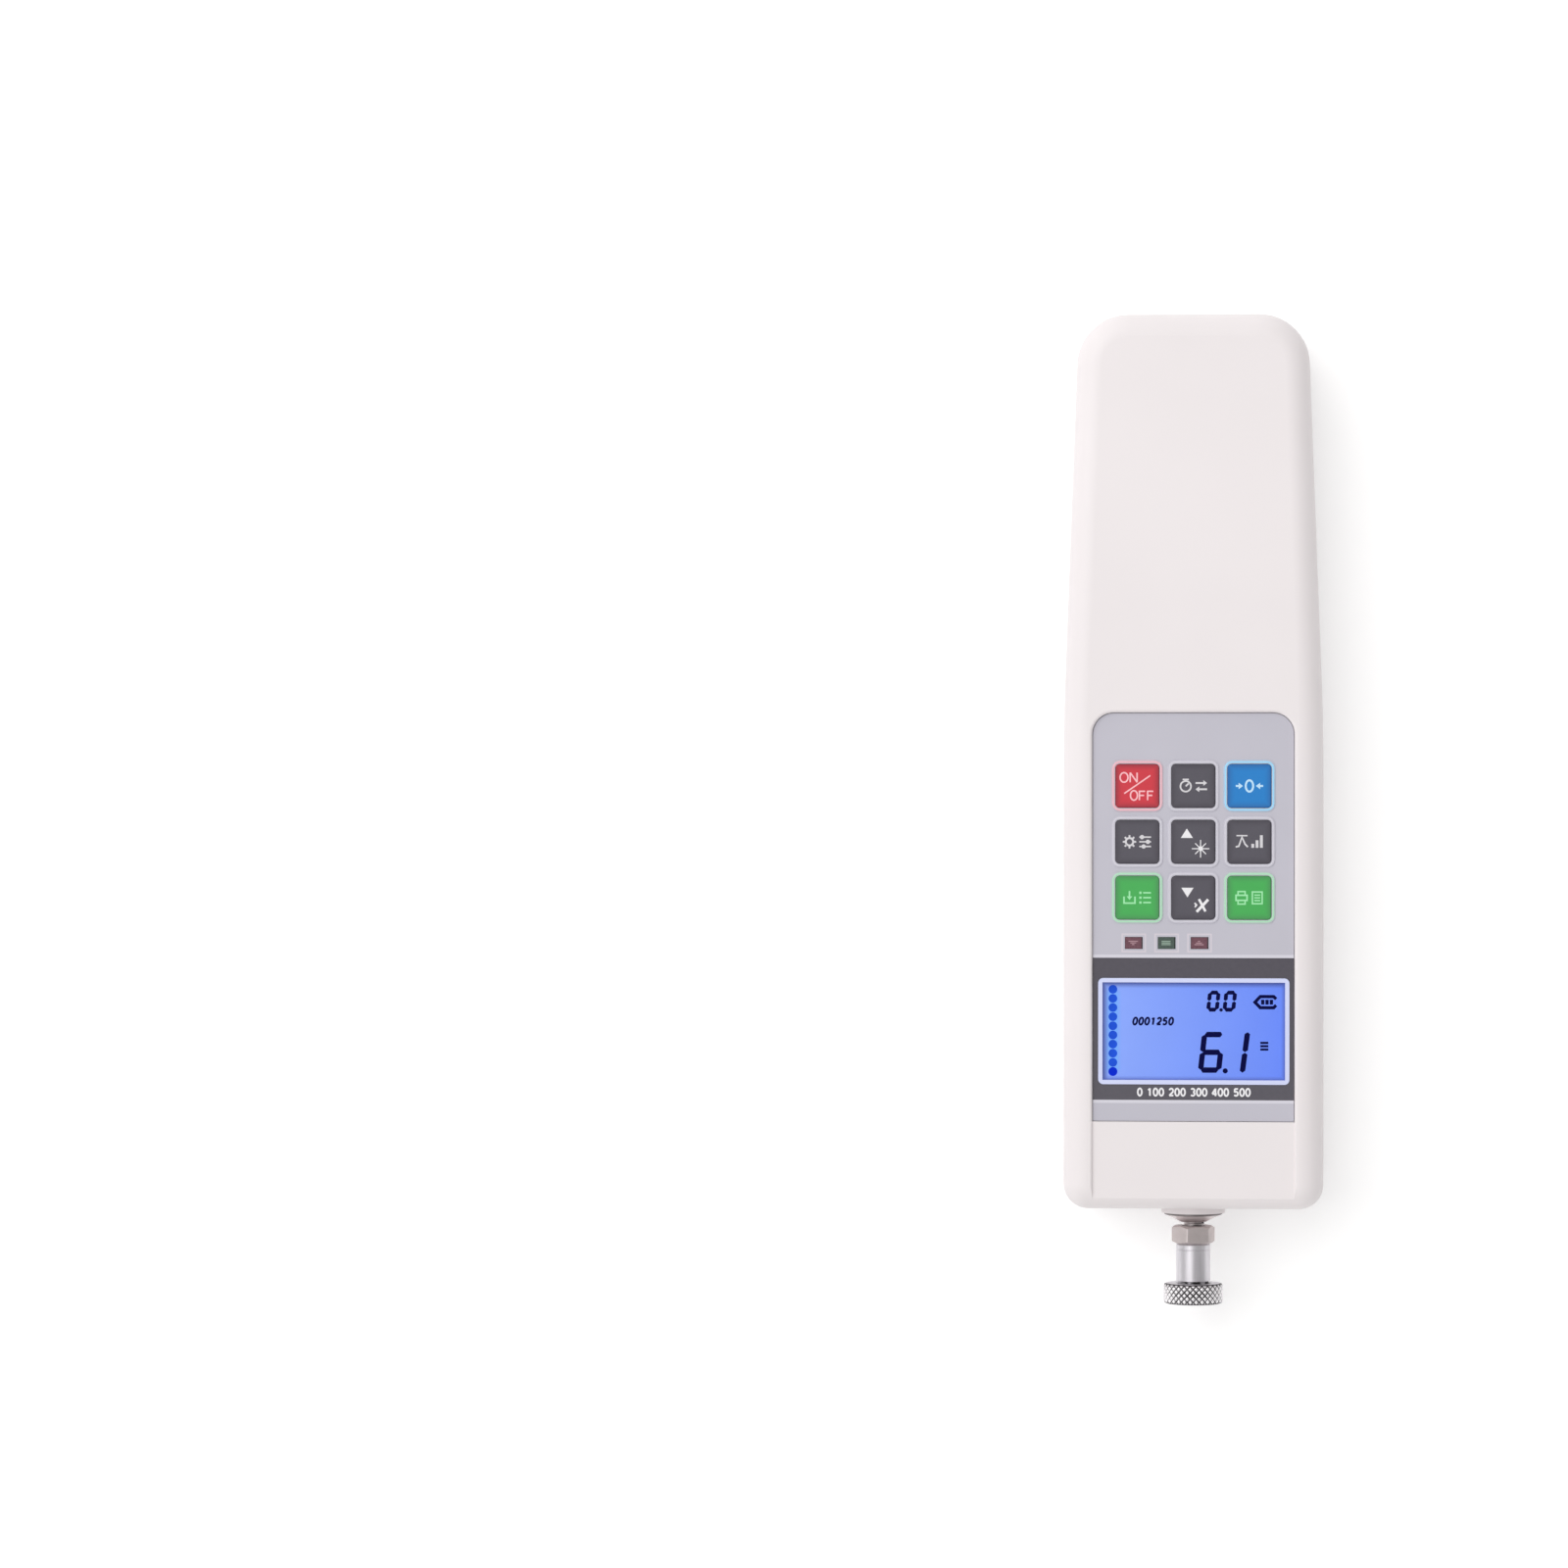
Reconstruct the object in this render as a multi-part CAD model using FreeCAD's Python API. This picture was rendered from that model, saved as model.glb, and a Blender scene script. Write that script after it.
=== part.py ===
"""Handheld digital push-pull force gauge, modelled as separate pieces, in millimetres.

The gauge lies on its back. Its origin is the middle of the four stand holes, on the back face.
+Z points out of the display, +Y points to the top end, and the measuring shaft points to -Y.
"""

import FreeCAD, Part
import math
import os

V = FreeCAD.Vector

# Case
CASE_LENGTH = 230.0
CASE_WIDTH = 67.0
CASE_DEPTH = 36.0
CASE_TOP_NARROWING = 4.0
TAPER_START = 9.0
TAPER_BLEND_RADIUS = 800.0
TOP_CORNER_RADIUS = 13.3
BOTTOM_CORNER_RADIUS = 6.6
FRONT_EDGE_RADIUS = 6.0
REAR_EDGE_RADIUS = 4.0
DRAFT = 0.3
WALL = 2.2
LIP_WIDTH = 1.0
LIP_HEIGHT = 1.2
LIP_GAP = 0.1
SEAM_GROOVE = 0.3

# Recess in the front face, with the membrane panel in it
RAIL_WIDTH = 7.7
RAIL_LAND = 0.2
PANEL_BOTTOM_SPACE = 22.85
PANEL_CORNER_RADIUS = 5.6
PANEL_GAP = 0.15
PANEL_DROP = 1.1
PANEL_BACKING = 2.2
RECESS_EDGE_RADIUS = 0.8
APRON_STEP = 0.3
APRON_EDGE_SHARE = 0.75

# Layers of the membrane keypad
OVERLAY_THICKNESS = 0.4
SPACER_THICKNESS = 0.55
CIRCUIT_THICKNESS = 0.25
TAIL_WIDTH = 12.0
TAIL_TOP_SPACE = 2.4
TAIL_GAP = 0.5
DOME_SPACE = 1.6
DOME_TOP_RADIUS = 2.2
DOME_SHEET = 0.1

# Keys
KEYS_SIDE_SPACE = 5.9
KEY_SPACE = 3.1
KEY_CORNER_RADIUS = 1.1
KEY_TRAVEL = 0.35
KEY_PROUD = 0.35
KEY_EDGE_RADIUS = 0.25
KEY_GAP = 0.1
KEY_DOME_GAP = 0.05
KEY_RIM_WIDTH = 0.75
KEY_RIM_HEIGHT = 0.25
KEYS_TOP_SPACE = 18.8
KEY_ROWS = (
    ("key_power", "key_unit", "key_zero"),
    ("key_set", "key_up", "key_peak"),
    ("key_memory", "key_down", "key_print"),
)

# Status lights
LIGHT_WIDTH = 4.35
LIGHT_HEIGHT = 2.9
LIGHT_PITCH = 8.4
LIGHT_MIDDLE_X = -6.8
LIGHT_BELOW_KEYS = 11.6
LIGHT_ABOVE_DISPLAY = 9.0
LIGHT_FOOT = 0.5
LIGHT_GAP = 0.1
LIGHT_NAMES = ("light_low", "light_ok", "light_high")

# Display
DISPLAY_X = 0.1
DISPLAY_SIDE_SPACE = 1.4
DISPLAY_BOTTOM_SPACE = 9.55
DISPLAY_LENGTH = 27.2
DISPLAY_CORNER_RADIUS = 1.3
FRAME_WIDTH = 1.1
FRAME_PROUD = 0.15
WINDOW_THICKNESS = 0.6
LCD_FRONT_GLASS = 1.0
LCD_REAR_GLASS = 1.1
LCD_LEDGE = 2.4
LCD_BORDER = 0.6
LCD_GAP = 0.1

# Main board
BOARD_THICKNESS = 1.6
BOARD_SIDE_SPACE = 1.5
BOARD_POST_GAP = 0.8
BOARD_END_SPACE = 0.7
BOARD_CORNER_CUT = 2.0
BOARD_POST_DIAMETER = 5.0
BOARD_POST_INSET_X = 2.6
BOARD_POST_INSET_Y = 3.4
CONTROLLER_SIZE = 12.0
CONVERTER_SIZE = (4.0, 10.0)
MEMORY_SIZE = (4.0, 5.0)
CHIP_HEIGHT = 1.5
CHIP_LEG = 0.4
CHIPS_SIDE_X = 13.0
CHIPS_START = 9.5
CHIPS_SPACE = 2.0
CRYSTAL_CAN = (4.6, 11.0, 3.5)
BUZZER_DIAMETER = 12.0
BUZZER_HEIGHT = 5.5
BUZZER_HOLE_RADIUS = 1.2
CONNECTOR_DEPTH = 3.2
CONNECTOR_SIDE_WALL = 1.0

# Screws: clearance round a shank, and the three sizes used as (shank radius, head radius, head height)
SCREW_GAP = 0.05
M4_SCREW = (2.0, 3.5, 4.0)
M3_SCREW = (1.5, 2.75, 2.0)
SMALL_SCREW = (1.25, 2.25, 1.4)
SCREW_CHAMFER = 0.3

# Posts that the case screws hold together
CASE_POST_WALL = 0.9
CASE_SCREW_TIP_SPACE = 4.5
CASE_SCREW_RECESS = 5.0
CASE_SCREW_RECESS_GAP = 0.35
TOP_POST_SIDE_SPACE = 7.5
TOP_POST_SPACE = 17.0
MIDDLE_POST_Y = -24.0
BOTTOM_POST_SPACE = 11.0
SIDE_POST_SPACE = 7.3

# Chassis plate and the stand holes
CHASSIS_THICKNESS = 3.0
CHASSIS_SIDE_SPACE = 8.5
CHASSIS_POST_DIAMETER = 7.0
CHASSIS_POST_X = 11.5
CHASSIS_BOTTOM_SPACE = 14.0
CHASSIS_TOP_SPACE = 36.0
CHASSIS_POST_GAP = 0.8
CHASSIS_POST_INSET = 5.0
CHASSIS_CORNER_RADIUS = 3.0
STAND_SPACING_X = 40.0
STAND_SPACING_Y = 100.0
STAND_HOLE_RADIUS = 1.65
STAND_HOLE_FLOOR = 1.5
STAND_BOSS_DIAMETER = 8.0
STAND_BOSS_GAP = 0.15

# Load cell, an S-shaped beam
CELL_SIDE_SPACE = 6.0
CELL_BOARD_GAP = 1.6
CELL_CHASSIS_GAP = 3.0
CELL_LENGTH = 36.0
CELL_THICKNESS = 12.0
CELL_ARM = 8.5
CELL_SLOT = 1.5
CELL_SLOT_WEB = 8.0
CELL_HOLE_RADIUS = 5.0
CELL_HOLE_PITCH = 13.0
CELL_NOSE_SPACE = 1.2
GAUGE_FOIL = (4.0, 5.0, 0.2)

# Bracket that carries the load cell
BRACKET_WIDTH = 26.0
BRACKET_WALL = 8.0
BRACKET_FOOT_LENGTH = 14.0
BRACKET_FOOT_THICKNESS = 3.5
BRACKET_SCREW_INSET = 4.0
BRACKET_SCREW_SPACE = 1.0
SENSOR_BOLT_HEAD_RADIUS = 5.0
SENSOR_BOLT_HEAD_HEIGHT = 6.0
SENSOR_BOLT_SOCKET = 5.0

# Measuring shaft and what is on it
STUD_RADIUS = 2.95
THREAD_GAP = 0.05
SHAFT_TRAVEL = 0.25
SHAFT_COLLAR_RADIUS = 5.0
SHAFT_COLLAR_THICKNESS = 2.0
SHAFT_BEVEL = 0.5
SHAFT_END_GAP = 0.5
NOSE_RIM_RADIUS = 7.5
NOSE_TIP_WALL = 0.25
NOSE_HEIGHT = 2.4
NOSE_RIM_EDGE = 0.4
NOSE_BOSS_RADIUS = 8.2
NOSE_BOSS_HEIGHT = 1.6
NOSE_SLEEVE_RADIUS = 5.5
NOSE_SLEEVE_GAP = 0.1
NOSE_BORE_GAP = 0.1
NOSE_RELIEF_RADIUS = 3.9
NOSE_NUT_SEAT_GAP = 0.4
NOSE_NUT_FLATS = 14.0
NOSE_NUT_THICKNESS = 2.6
LOCK_NUT_CLEARANCE = 0.75
LOCK_NUT_FLATS = 10.0
LOCK_NUT_CORNER_TRIM = 0.1
LOCK_NUT_THICKNESS = 4.5
LOCK_NUT_TURN = 43.9
HEAD_SHANK_RADIUS = 4.4
HEAD_SHANK_LENGTH = 10.35
HEAD_GROOVE = 0.4
HEAD_DISC_RADIUS = 7.8
HEAD_DISC_THICKNESS = 5.2
HEAD_CHAMFER = 0.6
HEAD_BORE_DEPTH = 9.0
HEAD_BORE_END_GAP = 1.0
HEAD_GAP = 0.05

# Battery
CELL_COUNT = 3
BATTERY_RADIUS = 7.1
BATTERY_LENGTH = 50.0
BATTERY_GAP = 0.15
TRAY_WALL = 1.2
TRAY_HEIGHT = 10.0
TRAY_EAR = 5.5
TRAY_EAR_WALL = 1.0
TRAY_SCREW_X = 12.0
TRAY_TOP_SPACE = 11.0
TAB_THICKNESS = 0.2
TAB_WIDTH = 4.0
TAB_OVERHANG = 2.5
BATTERY_GROOVE_START = 3.0
BATTERY_GROOVE_WIDTH = 1.0
BATTERY_GROOVE_DEPTH = 0.3

# Socket board at the top end
SOCKET_BOARD_SIDE_GAP = 1.0
SOCKET_BOARD_POST_DIAMETER = 5.0
SOCKET_POST_INSET_X = 3.5
SOCKET_POST_INSET_Y = 4.0
SOCKET_POST_SPACE = 4.4
SOCKET_BOARD_GAP = 0.8
SOCKET_SEAM_SPACE = 0.6
JACK_BODY = (9.0, 14.0, 8.4)
JACK_BARREL_RADIUS = 4.0
JACK_BORE_RADIUS = 2.8
JACK_BORE_DEPTH = 9.5
JACK_PIN_RADIUS = 1.0
JACK_PIN_ROOT = 1.0
JACK_PIN_SET_BACK = 1.0
PORT_SIZE = (7.7, 9.2, 3.9)
PORT_SHELL = 0.4
PORT_TONGUE = (4.6, 1.1)
PORT_TONGUE_SET_BACK = 1.0
SOCKET_SET_BACK = 0.6
SOCKET_HOLE_GAP = 0.3

# Stiffening ribs inside the front cover
RIB_THICKNESS = 1.2
RIB_HEIGHT = 3.0
RIB_PLACES = (34.0, 54.0, 74.0)

# Places and sizes that follow from the sizes above. CUT is how far a cutter stands out of what it cuts.
CUT = 1.0
TOP = CASE_LENGTH / 2
BOTTOM = -CASE_LENGTH / 2
SEAM = CASE_DEPTH / 2
AXIS_Z = SEAM
CASE_TOP_WIDTH = CASE_WIDTH - 2 * CASE_TOP_NARROWING
CASE_INSIDE = CASE_WIDTH / 2 - WALL
RECESS_WIDTH = CASE_WIDTH - 2 * RAIL_WIDTH
FRONT_EDGE = min(FRONT_EDGE_RADIUS, RAIL_WIDTH - DRAFT - RECESS_EDGE_RADIUS - RAIL_LAND)

# Keys, lights and display stand one above the other, and the recess is as long as they need
KEY_SIZE = (RECESS_WIDTH - 2 * KEYS_SIDE_SPACE - 2 * KEY_SPACE) / 3
KEY_PITCH = KEY_SIZE + KEY_SPACE
DISPLAY_WIDTH = RECESS_WIDTH - 2 * DISPLAY_SIDE_SPACE
RECESS_BOTTOM = BOTTOM + PANEL_BOTTOM_SPACE
DISPLAY_Y = RECESS_BOTTOM + DISPLAY_BOTTOM_SPACE + DISPLAY_LENGTH / 2
LIGHT_Y = DISPLAY_Y + DISPLAY_LENGTH / 2 + LIGHT_ABOVE_DISPLAY
KEYS_TOP_Y = LIGHT_Y + LIGHT_BELOW_KEYS + 2 * KEY_PITCH
RECESS_TOP = KEYS_TOP_Y + KEYS_TOP_SPACE
TAIL_Y = RECESS_TOP - TAIL_TOP_SPACE

# Heights of the panel's layers, from the front
PANEL_FACE = CASE_DEPTH - PANEL_DROP
OVERLAY_BACK = PANEL_FACE - OVERLAY_THICKNESS
SPACER_BACK = OVERLAY_BACK - SPACER_THICKNESS
RECESS_FLOOR = SPACER_BACK - CIRCUIT_THICKNESS
PANEL_INSIDE = RECESS_FLOOR - PANEL_BACKING
DOME_HEIGHT = DOME_SHEET + KEY_TRAVEL
WINDOW_FACE = RECESS_FLOOR + WINDOW_THICKNESS
LCD_WIDTH = DISPLAY_WIDTH - 2 * FRAME_WIDTH
LCD_LENGTH = DISPLAY_LENGTH - 2 * FRAME_WIDTH
LCD_FRONT = RECESS_FLOOR - LCD_GAP
LCD_STEP = LCD_FRONT - LCD_FRONT_GLASS
LCD_BACK = LCD_STEP - LCD_REAR_GLASS

# The load cell lies on the axis. The board lies over it, and the chassis plate under it
CHASSIS_WIDTH = CASE_WIDTH - 2 * CHASSIS_SIDE_SPACE
CELL_WIDTH = CHASSIS_WIDTH - 2 * CELL_SIDE_SPACE
CELL_BACK = AXIS_Z - CELL_THICKNESS / 2
CELL_FACE = AXIS_Z + CELL_THICKNESS / 2
CELL_BOTTOM = BOTTOM + WALL + NOSE_NUT_THICKNESS + CELL_NOSE_SPACE + SHAFT_COLLAR_THICKNESS
CELL_TOP = CELL_BOTTOM + CELL_LENGTH
CELL_Y = CELL_BOTTOM + CELL_LENGTH / 2
BOARD_BACK = CELL_FACE + CELL_BOARD_GAP
BOARD_FACE = BOARD_BACK + BOARD_THICKNESS
BOARD_SPACE = PANEL_INSIDE - BOARD_FACE
CONNECTOR_HEIGHT = BOARD_SPACE / 2
LIGHT_FOOT_HEIGHT = BOARD_SPACE / 3
BOARD_HALF = RECESS_WIDTH / 2 - BOARD_SIDE_SPACE
BOARD_TOP = RECESS_TOP + BOARD_END_SPACE
BOARD_BOTTOM = RECESS_BOTTOM + BOARD_END_SPACE
BOARD_POSTS = [
    (side * (BOARD_HALF - BOARD_POST_INSET_X), y)
    for y in (BOARD_TOP - BOARD_POST_INSET_Y, BOARD_BOTTOM + BOARD_POST_INSET_Y)
    for side in (-1, 1)
]
CHASSIS_FACE = CELL_BACK - CELL_CHASSIS_GAP
CHASSIS_BACK = CHASSIS_FACE - CHASSIS_THICKNESS
CHASSIS_BOTTOM_Y = BOTTOM + CHASSIS_BOTTOM_SPACE
CHASSIS_TOP_Y = TOP - CHASSIS_TOP_SPACE
CHASSIS_POSTS = [
    (side * CHASSIS_POST_X, y)
    for y in (CHASSIS_BOTTOM_Y + CHASSIS_POST_INSET, CHASSIS_TOP_Y - CHASSIS_POST_INSET)
    for side in (-1, 1)
]
STAND_HOLES = [
    (side * STAND_SPACING_X / 2, end * STAND_SPACING_Y / 2) for end in (-1, 1) for side in (-1, 1)
]
BRACKET_BACK = CELL_TOP + BRACKET_WALL
BRACKET_END = BRACKET_BACK + BRACKET_FOOT_LENGTH
BRACKET_SCREW_X = BRACKET_WIDTH / 2 - BRACKET_SCREW_INSET
BRACKET_SCREW_Y = BRACKET_END - M4_SCREW[1] - BRACKET_SCREW_SPACE
FOOT_FACE = CHASSIS_FACE + BRACKET_FOOT_THICKNESS

# The case's screw posts
CASE_POST_DIAMETER = 2 * (M3_SCREW[1] + CASE_SCREW_RECESS_GAP + CASE_POST_WALL)
CASE_SCREW_TIP = PANEL_INSIDE - CASE_SCREW_TIP_SPACE
SIDE_POST_X = CASE_WIDTH / 2 - SIDE_POST_SPACE
TOP_POST_X = CASE_TOP_WIDTH / 2 - TOP_POST_SIDE_SPACE
TOP_POST_Y = TOP - TOP_POST_SPACE
BOTTOM_POST_Y = BOTTOM + BOTTOM_POST_SPACE
CASE_POSTS = [
    (side * x, y)
    for x, y in ((TOP_POST_X, TOP_POST_Y), (SIDE_POST_X, MIDDLE_POST_Y), (SIDE_POST_X, BOTTOM_POST_Y))
    for side in (-1, 1)
]

# Pieces on the measuring axis, from the case outwards
THREAD_RADIUS = STUD_RADIUS + THREAD_GAP
NOSE_BORE_RADIUS = STUD_RADIUS + NOSE_BORE_GAP
NOSE_TIP_RADIUS = NOSE_BORE_RADIUS + NOSE_TIP_WALL
NOSE_SEAT = BOTTOM - NOSE_BOSS_HEIGHT
NOSE_TIP = NOSE_SEAT - NOSE_HEIGHT
NUT_TOP = NOSE_TIP - SHAFT_TRAVEL - LOCK_NUT_CLEARANCE
NUT_BOTTOM = NUT_TOP - LOCK_NUT_THICKNESS
HEAD_TOP = NUT_BOTTOM - HEAD_GAP
DISC_TOP = HEAD_TOP - HEAD_SHANK_LENGTH
DISC_BOTTOM = DISC_TOP - HEAD_DISC_THICKNESS

# The battery tray stands on the chassis plate
TRAY_FLOOR = CHASSIS_FACE + TRAY_WALL
TRAY_LENGTH = BATTERY_LENGTH + 2 * (BATTERY_GAP + TAB_THICKNESS + TRAY_WALL)
TRAY_TOP_Y = CHASSIS_TOP_Y - TRAY_TOP_SPACE
TRAY_BOTTOM_Y = TRAY_TOP_Y - TRAY_LENGTH
TRAY_SCREW_Y = TRAY_BOTTOM_Y - TRAY_EAR / 2
BATTERY_PITCH = 2 * (BATTERY_RADIUS + BATTERY_GAP)
TRAY_HALF = CELL_COUNT * BATTERY_PITCH / 2 + TRAY_WALL
BATTERY_Z = TRAY_FLOOR + BATTERY_RADIUS + BATTERY_GAP

# The socket board lies between the top posts. Each socket is in the middle of its half, below the seam
SOCKET_BOARD_WIDTH = 2 * (TOP_POST_X - CASE_POST_DIAMETER / 2 - SOCKET_BOARD_SIDE_GAP)
SOCKET_BOARD_FACE = SEAM - SOCKET_SEAM_SPACE - JACK_BODY[2]
SOCKET_BOARD_BACK = SOCKET_BOARD_FACE - BOARD_THICKNESS
SOCKET_BOARD_TOP_Y = TOP - WALL - SOCKET_BOARD_GAP
JACK_X = -SOCKET_BOARD_WIDTH / 4
JACK_Z = SOCKET_BOARD_FACE + JACK_BODY[2] / 2
JACK_TOP_Y = TOP - WALL - SOCKET_BOARD_GAP / 2
SOCKET_MOUTH = TOP - SOCKET_SET_BACK
PORT_X = SOCKET_BOARD_WIDTH / 4
PORT_Z = SOCKET_BOARD_FACE + PORT_SIZE[2] / 2
SOCKET_POST_Y = JACK_TOP_Y - JACK_BODY[1] - SOCKET_POST_SPACE
SOCKET_POSTS = [(side * (SOCKET_BOARD_WIDTH / 2 - SOCKET_POST_INSET_X), SOCKET_POST_Y) for side in (-1, 1)]


def box(x0, x1, y0, y1, z0, z1):
    """Block between two corners."""
    return Part.makeBox(x1 - x0, y1 - y0, z1 - z0, V(x0, y0, z0))


def upright(radius, x, y, z0, z1):
    """Cylinder along Z."""
    return Part.makeCylinder(radius, z1 - z0, V(x, y, z0), V(0, 0, 1))


def lengthwise(radius, x, z, y0, y1):
    """Cylinder along Y."""
    return Part.makeCylinder(radius, y1 - y0, V(x, y0, z), V(0, 1, 0))


def joined(shapes):
    """One solid from shapes that touch or overlap."""
    first, *others = shapes
    return first.fuse(others).removeSplitter() if others else first


def rounded_wire(corners, z):
    """Closed wire in a plane of constant z, through corners given as (x, y, radius)."""
    arcs = []
    for i, (x, y, radius) in enumerate(corners):
        corner = V(x, y, z)
        before = V(*corners[i - 1][:2], z)
        after = V(*corners[(i + 1) % len(corners)][:2], z)
        back = (before - corner).normalize()
        ahead = (after - corner).normalize()
        half = back.getAngle(ahead) / 2
        inward = (back + ahead).normalize()
        start = corner + back * (radius / math.tan(half))
        end = corner + ahead * (radius / math.tan(half))
        middle = corner + inward * (radius / math.sin(half) - radius)
        arcs.append((start, middle, end))
    edges = []
    for i, (start, middle, end) in enumerate(arcs):
        last_end = arcs[i - 1][2]
        if last_end.distanceToPoint(start) > 1e-6:
            edges.append(Part.LineSegment(last_end, start).toShape())
        edges.append(Part.Arc(start, middle, end).toShape())
    return Part.Wire(edges)


def rounded_plate(x, y, width, length, radius, z0, z1):
    """Plate with four rounded corners, centred on (x, y)."""
    corners = [
        (x - width / 2, y - length / 2, radius),
        (x + width / 2, y - length / 2, radius),
        (x + width / 2, y + length / 2, radius),
        (x - width / 2, y + length / 2, radius),
    ]
    return Part.Face(rounded_wire(corners, z0)).extrude(V(0, 0, z1 - z0))


def turned(profile):
    """Solid turned about the measuring axis, from points of (radius, y)."""
    points = [V(radius, y, AXIS_Z) for radius, y in profile]
    face = Part.Face(Part.makePolygon(points + points[:1]))
    return face.revolve(V(0, 0, AXIS_Z), V(0, 1, 0), 360)


def hex_bar(flats, y0, y1, turn):
    """Six-sided bar on the measuring axis. A corner lies at turn degrees from +Z towards +X."""
    radius = flats / math.sqrt(3)
    angles = [math.radians(turn + 60 * i) for i in range(6)]
    corners = [V(radius * math.sin(a), y0, AXIS_Z + radius * math.cos(a)) for a in angles]
    return Part.Face(Part.makePolygon(corners + corners[:1])).extrude(V(0, y1 - y0, 0))


def hex_nut(flats, thickness, y_low, bore_radius, turn):
    """Hexagon nut with both faces chamfered at 30 degrees and its corners slightly trimmed."""
    y_high = y_low + thickness
    corner = flats / math.sqrt(3) - LOCK_NUT_CORNER_TRIM
    face_radius = flats / 2 * 0.95
    drop = (corner - face_radius) * math.tan(math.radians(30))
    barrel = turned(
        [
            (bore_radius, y_low),
            (face_radius, y_low),
            (corner, y_low + drop),
            (corner, y_high - drop),
            (face_radius, y_high),
            (bore_radius, y_high),
        ]
    )
    return hex_bar(flats, y_low, y_high, turn).common(barrel)


def upright_screw(screw, x, y, seat_z, tip_z):
    """Screw along Z with a chamfered round head on the seat and its tip at tip_z."""
    shank, head, height = screw
    away = 1 if seat_z > tip_z else -1
    profile = [
        V(0, 0, 0),
        V(head, 0, 0),
        V(head, 0, height - SCREW_CHAMFER),
        V(head - SCREW_CHAMFER, 0, height),
        V(0, 0, height),
    ]
    cap = Part.Face(Part.makePolygon(profile + profile[:1])).revolve(V(0, 0, 0), V(0, 0, 1), 360)
    if away < 0:
        cap.rotate(V(0, 0, 0), V(1, 0, 0), 180)
    cap.translate(V(x, y, seat_z))
    stem = upright(shank, x, y, min(seat_z, tip_z), max(seat_z, tip_z))
    return joined([cap, stem])


# Case


def case_outline(inset, z):
    """Front outline of the case at one height, moved inwards by inset."""
    slope = CASE_TOP_NARROWING / (TOP - TAPER_START)
    side = CASE_WIDTH / 2 - inset
    bend = TAPER_START - inset * math.tan(math.atan(slope) / 2)
    top = TOP - inset
    shoulder = side - (top - bend) * slope
    right = [
        (side, BOTTOM + inset, BOTTOM_CORNER_RADIUS - inset),
        (side, bend, TAPER_BLEND_RADIUS - inset),
        (shoulder, top, TOP_CORNER_RADIUS - inset),
    ]
    left = [(-x, y, radius) for x, y, radius in reversed(right)]
    return rounded_wire(right + left, z)


def case_half(inset, face_z, edge_radius):
    """Solid half of the case from the seam to face_z, with its outer edge rounded."""
    block = Part.makeLoft([case_outline(inset, SEAM), case_outline(inset + DRAFT, face_z)], True, True)
    rim = [e for e in block.Edges if all(abs(v.Z - face_z) < 1e-4 for v in e.Vertexes)]
    return block.makeFillet(edge_radius, rim)


def seam_ring(outer_inset, inner_inset, z0, z1):
    """Ring that follows the case's wall at the seam."""
    outer = Part.Face(case_outline(outer_inset, z0)).extrude(V(0, 0, z1 - z0))
    inner = Part.Face(case_outline(inner_inset, z0)).extrude(V(0, 0, z1 - z0))
    return outer.cut(inner)


def nose_hole():
    """Hole for the nose bush through the bottom wall, with a flat seat for its nut inside."""
    hole = lengthwise(
        NOSE_SLEEVE_RADIUS + NOSE_SLEEVE_GAP, 0, AXIS_Z, NOSE_SEAT - CUT, BOTTOM + WALL
    )
    seat_radius = NOSE_NUT_FLATS / math.sqrt(3) + NOSE_NUT_SEAT_GAP
    return hole.fuse(lengthwise(seat_radius, 0, AXIS_Z, BOTTOM + WALL, BOTTOM + WALL + NOSE_NUT_THICKNESS))


def nose_boss(front):
    """One half of the low boss round the nose hole."""
    boss = lengthwise(NOSE_BOSS_RADIUS, 0, AXIS_Z, BOTTOM - NOSE_BOSS_HEIGHT, BOTTOM + WALL)
    reach = NOSE_BOSS_RADIUS + CUT
    low, high = (SEAM, SEAM + reach) if front else (SEAM - reach, SEAM)
    return boss.common(box(-reach, reach, BOTTOM - reach, BOTTOM + reach, low, high))


def recess_outline(inset, z):
    """Outline of the recess, moved inwards by inset: rounded top corners and square bottom corners."""
    half = RECESS_WIDTH / 2 - inset
    low = RECESS_BOTTOM + inset
    high = RECESS_TOP - inset
    radius = PANEL_CORNER_RADIUS - inset
    bulge = radius * (1 - math.sqrt(0.5))
    right_end = V(half, high - radius, z)
    top_right = V(half - radius, high, z)
    top_left = V(radius - half, high, z)
    left_end = V(-half, high - radius, z)
    return Part.Wire(
        [
            Part.LineSegment(V(-half, low, z), V(half, low, z)).toShape(),
            Part.LineSegment(V(half, low, z), right_end).toShape(),
            Part.Arc(right_end, V(half - bulge, high - bulge, z), top_right).toShape(),
            Part.LineSegment(top_right, top_left).toShape(),
            Part.Arc(top_left, V(bulge - half, high - bulge, z), left_end).toShape(),
            Part.LineSegment(left_end, V(-half, low, z)).toShape(),
        ]
    )


def recess_block():
    """Cutter for the recess, from its floor out of the face."""
    return Part.Face(recess_outline(0, RECESS_FLOOR)).extrude(V(0, 0, CASE_DEPTH))


def panel_layer(z0, z1):
    """Sheet that fills the recess, with a small gap to its walls."""
    return Part.Face(recess_outline(PANEL_GAP, z0)).extrude(V(0, 0, z1 - z0))


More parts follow.
